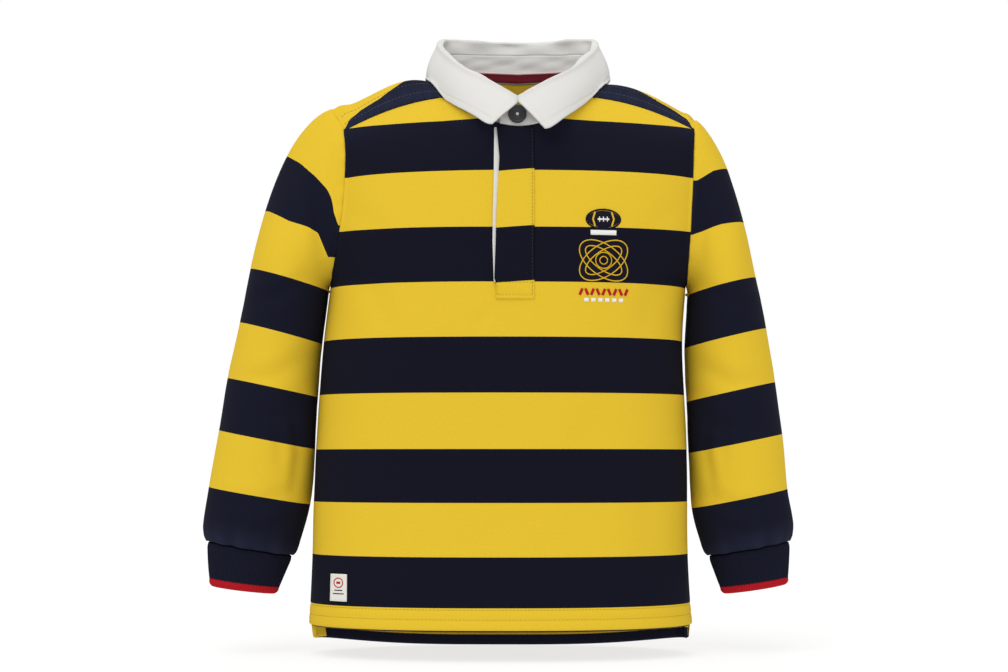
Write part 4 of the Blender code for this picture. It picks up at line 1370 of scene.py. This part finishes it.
def strip(carrier, left, right, heights, lift, columns):
    """Grid over the front: left, right and lift are functions of height, or of share and height."""
    rows = []
    for height in heights:
        row = []
        for k in range(columns + 1):
            share = k / columns
            x = left(height) + (right(height) - left(height)) * share
            row.append(tuple(on_front(carrier, x, height, lift(share, height))))
        rows.append(row)
    return np.array(rows)


def overlap_lift(share, z):
    """How far the overlap stands off the panel: most at its free edge, little at its foot."""
    eased = min(max((z - OVERLAP_FOOT) / OVERLAP_EASE, 0.2), 1)
    return OVERLAP_LOW + OVERLAP_RISE * (1 - share) ** 0.7 * eased


def make_placket(kit):
    carrier = kit["front_carrier"]
    heights = stepped(PLACKET_FOOT, PLACKET_HEAD, PLACKET_SPANS)
    grid = strip(carrier, free_edge, lambda z: PLACKET_STITCHED, heights, overlap_lift, PLACKET_COLUMNS)
    width = PLACKET_COLUMNS + 1
    normals = normals_of(grid)
    bands = band_of_height(grid[..., 2] + PLACKET_TILT * np.linspace(1.0, -1.0, width)[None, :])
    relief = uneven(grid, 0.25, 16.0, 3.0)
    dip_rows = stitch_dip(len(heights), PLACKET_BOX, 0.4)[:, None]
    dip_columns = stitch_dip(width, (PLACKET_SEAM,), 0.35)[None, :]
    grid = grid + normals * (relief + dip_rows + dip_columns)[..., None]
    overlap = shell("placket_overlap", grid, PLACKET_WALL, kit["jersey"], values={"band": bands},
                    pitch=(1.1, 1.2))
    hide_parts("placket_overlap")
    under = strip(carrier, under_edge, lambda z: PLACKET_FREE + UNDER_TUCK,
                  stepped(UNDER_FOOT, PLACKET_HEAD, 60), lambda share, z: 1.3 + 0.15 * math.sin(z / 9.0), 8)
    under_piece = shell("placket_under", under, STRIP, kit["twill"])
    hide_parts("placket_under")
    seam = grid_line(grid, normals, list(range(2, len(heights))), [PLACKET_SEAM] * (len(heights) - 2))
    box = [grid_line(grid, normals, [row] * 25, list(np.linspace(0.8, PLACKET_SEAM, 25)))
           for row in PLACKET_BOX]
    box.append(grid_line(grid, normals, list(np.linspace(*PLACKET_BOX, 12)), [PLACKET_BOX_SIDE] * 12))
    sewn("placket_stitches", [(*seam, *PLACKET_STITCH)], kit["thread_dull"])
    sewn("placket_box_stitches", [(*line, *PLACKET_STITCH) for line in box], kit["thread_ochre"])
    return overlap, under_piece


def turned(name, profile, place, facing, material, sides=48):
    """Round piece turned about an axis, from its profile of radius and height."""
    turn = facing.to_track_quat("Z", "Y")
    points = []
    for radius, height in profile:
        for k in range(sides):
            angle = 2 * math.pi * k / sides
            local = Vector((radius * math.cos(angle), radius * math.sin(angle), height))
            points.append(tuple(place + turn @ local))
    return make_object(name, points, ring_faces(len(profile), sides), material)


def make_button(kit):
    place, normal = kit["stand"].ray_cast(Vector((BUTTON_X, -SKY, BUTTON_Z)), Vector((0, 1, 0)))[:2]
    facing = normal if normal.y < 0 else -normal
    place = place + facing * BUTTON_CLEAR
    button = turned("button_face", BUTTON_TURNING, place, facing, kit["button"])
    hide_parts("button")
    middle = turned("button_middle", BUTTON_STUD, place, facing, kit["metal"], 24)
    return button


def make_label(kit):
    carrier = kit["front_carrier"]
    grid = strip(carrier, lambda z: LABEL["left"] + LABEL_SLANT * (z - LABEL_LEVEL), lambda z: LABEL["right"],
                 stepped(LABEL["foot"], LABEL["top"], 16), lambda share, z: LABEL_WALL + 0.7, 12)
    label = shell("hem_label", grid, LABEL_WALL, kit["label"])
    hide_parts("hem_label")
    normals = normals_of(grid)
    runs = []
    for row in (1, 15):
        line, ways = grid_line(grid, normals, [row] * 13, list(range(13)))
        runs.append((line, ways, *LABEL_STITCH))
    sewn("label_stitches", runs, kit["thread_cream"])
    labelled = surface_of([as_vectors(grid)])
    middle = (LABEL["left"] + LABEL["right"]) / 2
    level = LABEL_RING_LEVEL
    ring = [(middle + LABEL_RING * math.sin(k / 24 * 2 * math.pi),
             level + LABEL_RING * math.cos(k / 24 * 2 * math.pi)) for k in range(25)]
    marks = [satin(labelled, ring, 0.8, 0.12),
             satin(labelled, [(middle - 1.6, level), (middle + 1.6, level)], 1.8, 0.12)]
    mark("label_marks", marks, kit["thread_red"])
    bars = [satin(labelled, [(middle - half, z), (middle + half, z)], 0.8, 0.12)
            for half, z in LABEL_BARS]
    mark("label_bars", bars, kit["thread_navy"])
    return label


def make_vent(kit, side):
    """Turned edge of the back panel beside a vent, curling in behind the front's hem."""
    mirror = -1.0 if side == "left" else 1.0
    heights = stepped(BACK_SIDE_HEM + 0.6, VENT_TOP, 18)
    rows = []
    for height in heights:
        edge = torso_point(height, mirror, 1)
        row = []
        for share in stepped(0.0, 1.0, 12):
            way = Vector((-mirror * VENT_WIDTH * share, 2.2 + VENT_DEPTH * share ** 1.6, 0.0))
            row.append(tuple(edge + way))
        rows.append(row)
    grid = np.array(rows)
    bands = np.full(grid.shape[:2], 1.5 if side == "left" else 0.5)
    normals = normals_of(grid)
    normals *= np.sign(-normals[..., 1:2])
    vent = shell("vent_" + side, grid, STRIP, kit["jersey"], flip=side == "left",
                 values={"band": bands})
    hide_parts("vent_" + side)
    column = 3.0 if side == "left" else 7.0
    line = grid_line(grid, normals, list(range(1, len(heights))), [column] * (len(heights) - 1))
    sewn("vent_stitches_" + side, [(*line, *VENT_THREAD)], kit["thread_gold"])
    return vent


# Embroidery

def satin(carrier, path, widths, height, pitch=0.45):
    """Raised band of satin stitch along a path on the front; widths is a number or a function."""
    path = np.array(path, float)
    steps = np.linalg.norm(np.diff(path, axis=0), axis=1)
    reach = np.concatenate([[0.0], np.cumsum(steps)])
    count = max(int(reach[-1] / pitch), 4)
    rows = []
    for k in range(count + 1):
        at = reach[-1] * k / count
        x = np.interp(at, reach, path[:, 0])
        z = np.interp(at, reach, path[:, 1])
        before = [np.interp(max(at - 0.6, 0), reach, path[:, i]) for i in (0, 1)]
        after = [np.interp(min(at + 0.6, reach[-1]), reach, path[:, i]) for i in (0, 1)]
        way = np.array(after) - np.array(before)
        way /= max(np.linalg.norm(way), 1e-6)
        width = widths(k / count) if callable(widths) else widths
        row = []
        for across, rise in ((-0.5, -0.6), (-0.42, 0.55), (0.0, 1.0), (0.42, 0.55), (0.5, -0.6)):
            ridge = 0.16 if k % 2 else 0.0
            spot = (x - way[1] * width * across, z + way[0] * width * across)
            row.append(tuple(on_front(carrier, spot[0], spot[1], height * (rise - ridge) + 0.1)))
        rows.append(row)
    points = [point for row in rows for point in row]
    faces = []
    for i in range(count):
        for j in range(4):
            a = i * 5 + j
            faces.append([a, a + 1, a + 6, a + 5])
    faces.append([0, 1, 2, 3, 4][::-1])
    faces.append([count * 5 + j for j in range(5)])
    return points, faces


def oval(middle, half_width, half_height, turn=0.0, first=0.0, last=1.0, count=48):
    points = []
    for k in range(count + 1):
        angle = 2 * math.pi * (first + (last - first) * k / count)
        x = half_width * math.cos(angle)
        z = half_height * math.sin(angle)
        points.append((middle[0] + x * math.cos(turn) - z * math.sin(turn),
                       middle[1] + x * math.sin(turn) + z * math.cos(turn)))
    return points


def bellied(width):
    """Width along a filled oval."""
    return lambda share: max(width * math.sqrt(max(1 - (2 * share - 1) ** 2, 0.0)), 0.3)


def make_motif(kit):
    """Plain sports motif: a ball over a ring of two crossed ovals, with bars and dots under it."""
    carrier = kit["front_carrier"]
    x, z = MOTIF
    ball = (x, z + 30.0)
    ring = (x, z - 2.0)
    navy = []
    yellow = []
    white = []
    red = []
    navy.append(satin(carrier, [(ball[0] - 12.5, ball[1]), (ball[0] + 12.5, ball[1])], bellied(14.0), 0.35))
    navy.append(satin(carrier, oval(ball, 13.2, 7.6), 1.5, 0.7))
    for offset in (-6.5, 6.5):
        yellow.append(satin(carrier, [(ball[0] + offset, ball[1] + 5.6), (ball[0] + offset * 1.25, ball[1]),
                                      (ball[0] + offset, ball[1] - 5.6)], 1.6, 0.75))
    white.append(satin(carrier, [(ball[0] - 4.5, ball[1]), (ball[0] + 4.5, ball[1])], 1.5, 0.9))
    for offset in (-3.0, 0.0, 3.0):
        white.append(satin(carrier, [(ball[0] + offset, ball[1] + 2.0), (ball[0] + offset, ball[1] - 2.0)],
                           0.9, 1.0))
    shelf = ball[1] - 10.4
    white.append(satin(carrier, [(ball[0] - 10.0, shelf), (ball[0] + 10.0, shelf)], 4.2, 0.7))
    for turn, lift in ((0.62, 0.55), (-0.62, 0.75)):
        band = oval(ring, 19.0, 9.5, turn)
        navy.append(satin(carrier, band, 4.2, lift * 0.8))
        for half_width, half_height in ((21.4, 11.9), (16.6, 7.1)):
            yellow.append(satin(carrier, oval(ring, half_width, half_height, turn), 1.0, lift + 0.35))
    navy.append(satin(carrier, oval(ring, 4.6, 4.6), 2.4, 1.0))
    yellow.append(satin(carrier, oval(ring, 6.2, 6.2), 0.9, 1.2))
    yellow.append(satin(carrier, oval(ring, 3.0, 3.0), 0.9, 1.2))
    for k in range(9):
        place = x - 17.6 + 4.4 * k
        slant = 1.0 if k % 2 else -1.0
        red.append(satin(carrier, [(place - slant, z - 24.0), (place + slant, z - 28.8)], 2.3, 0.6))
    for k in range(6):
        place = x - 13.5 + 5.4 * k
        white.append(satin(carrier, [(place - 1.7, z - 32.6), (place + 1.7, z - 32.6)], 3.0, 0.5))
    mark("motif_navy", navy, kit["thread_navy"])
    mark("motif_yellow", yellow, kit["thread_gold"])
    mark("motif_white", white, kit["thread_white"])
    mark("motif_red", red, kit["thread_red"])


# Seam stitches

def make_seams(kit):
    front, front_normals = kit["front"]
    back, back_normals = kit["back"]
    width = front.shape[1]
    columns = list(range(2, width - 2))
    gold = []
    dull = []
    for rows, grid, ways in ((FRONT_HEM_LINES, front, front_normals), (BACK_HEM_LINES, back, back_normals)):
        for row in rows:
            gold.append((*grid_line(grid, ways, [row] * len(columns), columns), *HEM_STITCH))
    for column in (VENT_STITCH, width - 1 - VENT_STITCH):
        span = list(np.linspace(0.4, 8.0, 12))
        gold.append((*grid_line(front, front_normals, span, [column] * len(span)), *HEM_STITCH))
    last = back.shape[0] - 1
    neck_left = int(width * (0.5 - NECK_SHARE / 2))
    neck_right = width - 1 - neck_left
    for inset in SHOULDER_LINES:
        for low, high in ((2, neck_left), (neck_right, width - 3)):
            span = list(range(low, high + 1))
            line, ways = grid_line(back, back_normals, [last - inset] * len(span), span)
            dull.append((line, ways, *SHOULDER_STITCH))
    sewn("hem_stitches", gold, kit["thread_ochre"])
    sewn("shoulder_stitches", dull, kit["thread_grey"])


def make_hem_thread(kit):
    """Wavy cover stitch over the raw edge of the back hem's allowance, on the inside."""
    back, normals = kit["back"]
    width = back.shape[1]
    line = []
    for k in range(COVER_POINTS * (width - 2 * COVER_END)):
        column = COVER_END + k / COVER_POINTS
        row = ALLOWANCE_ROWS + COVER_WAVE * math.sin(k * COVER_TURN)
        place = picked(back, row, column)
        line.append(place - picked(normals, row, column) * (HEM_WALL + 0.25))
    thread = tube("hem_cover_stitch", line, COVER_RADIUS, kit["thread_gold"], 5)


# Picture

def add_light(name, way, power, softness):
    """Distant light that shines along a way."""
    data = bpy.data.lights.new(name, "SUN")
    data.energy = power
    data.angle = math.radians(softness)
    item = bpy.data.objects.new(name, data)
    bpy.context.scene.collection.objects.link(item)
    item.rotation_euler = Vector(way).to_track_quat("-Z", "Y").to_euler()


def make_picture():
    scene = bpy.context.scene
    data = bpy.data.meshes.new("floor")
    far = FLOOR_REACH
    data.from_pydata([(-far, -far, FLOOR), (far, -far, FLOOR), (far, far, FLOOR), (-far, far, FLOOR)], [],
                     [(0, 1, 2, 3)])
    ground, _, _, shader = shader_of("floor", 1.0)
    shader.inputs["Base Color"].default_value = (FLOOR_GREY, FLOOR_GREY, FLOOR_GREY, 1.0)
    shader.inputs["Emission Color"].default_value = (1.0, 1.0, 1.0, 1.0)
    shader.inputs["Emission Strength"].default_value = FLOOR_GLOW
    data.materials.append(ground)
    floor = bpy.data.objects.new("floor", data)
    scene.collection.objects.link(floor)
    world = bpy.data.worlds.new("world")
    world.use_nodes = True
    nodes = world.node_tree.nodes
    links = world.node_tree.links
    sky = nodes["Background"]
    sky.inputs["Color"].default_value = (1.0, 1.0, 1.0, 1.0)
    ray = node(nodes, "ShaderNodeLightPath")
    strength = node(nodes, "ShaderNodeMapRange")
    strength.inputs["To Min"].default_value = SKY_STRENGTH
    strength.inputs["To Max"].default_value = 1.0
    links.new(ray.outputs["Is Camera Ray"], strength.inputs["Value"])
    links.new(strength.outputs["Result"], sky.inputs["Strength"])
    scene.world = world
    for light in LIGHTS:
        add_light(*light)
    data = bpy.data.cameras.new("camera")
    data.lens = CAMERA_LENS
    data.sensor_width = CAMERA_SENSOR
    camera = bpy.data.objects.new("camera", data)
    scene.collection.objects.link(camera)
    camera.location = CAMERA_PLACE
    camera.rotation_euler = (math.radians(90 + CAMERA_TILT), 0.0, 0.0)
    scene.camera = camera
    scene.view_settings.view_transform = "Standard"
    scene.render.resolution_x, scene.render.resolution_y = PHOTO_SIZE


def main():
    kit = make_materials()
    sheets = {}
    sheets["front"] = make_front(kit)
    sheets["back"] = make_back(kit)
    front = kit["front"][0]
    back = kit["back"][0]
    kit["front_carrier"] = surface_of([as_vectors(front)])
    kit["carrier"] = surface_of([as_vectors(front[::2, ::2]), as_vectors(back[::2, ::2])])
    for side in ("left", "right"):
        sheets["sleeve_" + side] = make_sleeve(kit, side)
        sheets["cuff_" + side] = make_cuff(kit, side)
        sheets["vent_" + side] = make_vent(kit, side)
    sheets["collar_fall"] = make_collar(kit)
    sheets["collar_stand"] = make_stand(kit)
    sheets["neck_tape"] = make_tape(kit)
    sheets["placket_overlap"], sheets["placket_under"] = make_placket(kit)
    sheets["hem_label"] = make_label(kit)
    make_button(kit)
    make_motif(kit)
    make_seams(kit)
    make_hem_thread(kit)
    make_picture()
    bpy.context.view_layer.update()


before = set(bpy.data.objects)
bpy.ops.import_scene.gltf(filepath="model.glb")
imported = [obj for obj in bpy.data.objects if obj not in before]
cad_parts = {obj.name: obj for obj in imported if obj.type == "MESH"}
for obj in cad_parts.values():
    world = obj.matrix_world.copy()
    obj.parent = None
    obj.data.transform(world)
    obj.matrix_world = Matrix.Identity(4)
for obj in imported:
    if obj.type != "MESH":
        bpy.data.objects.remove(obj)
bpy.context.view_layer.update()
main()
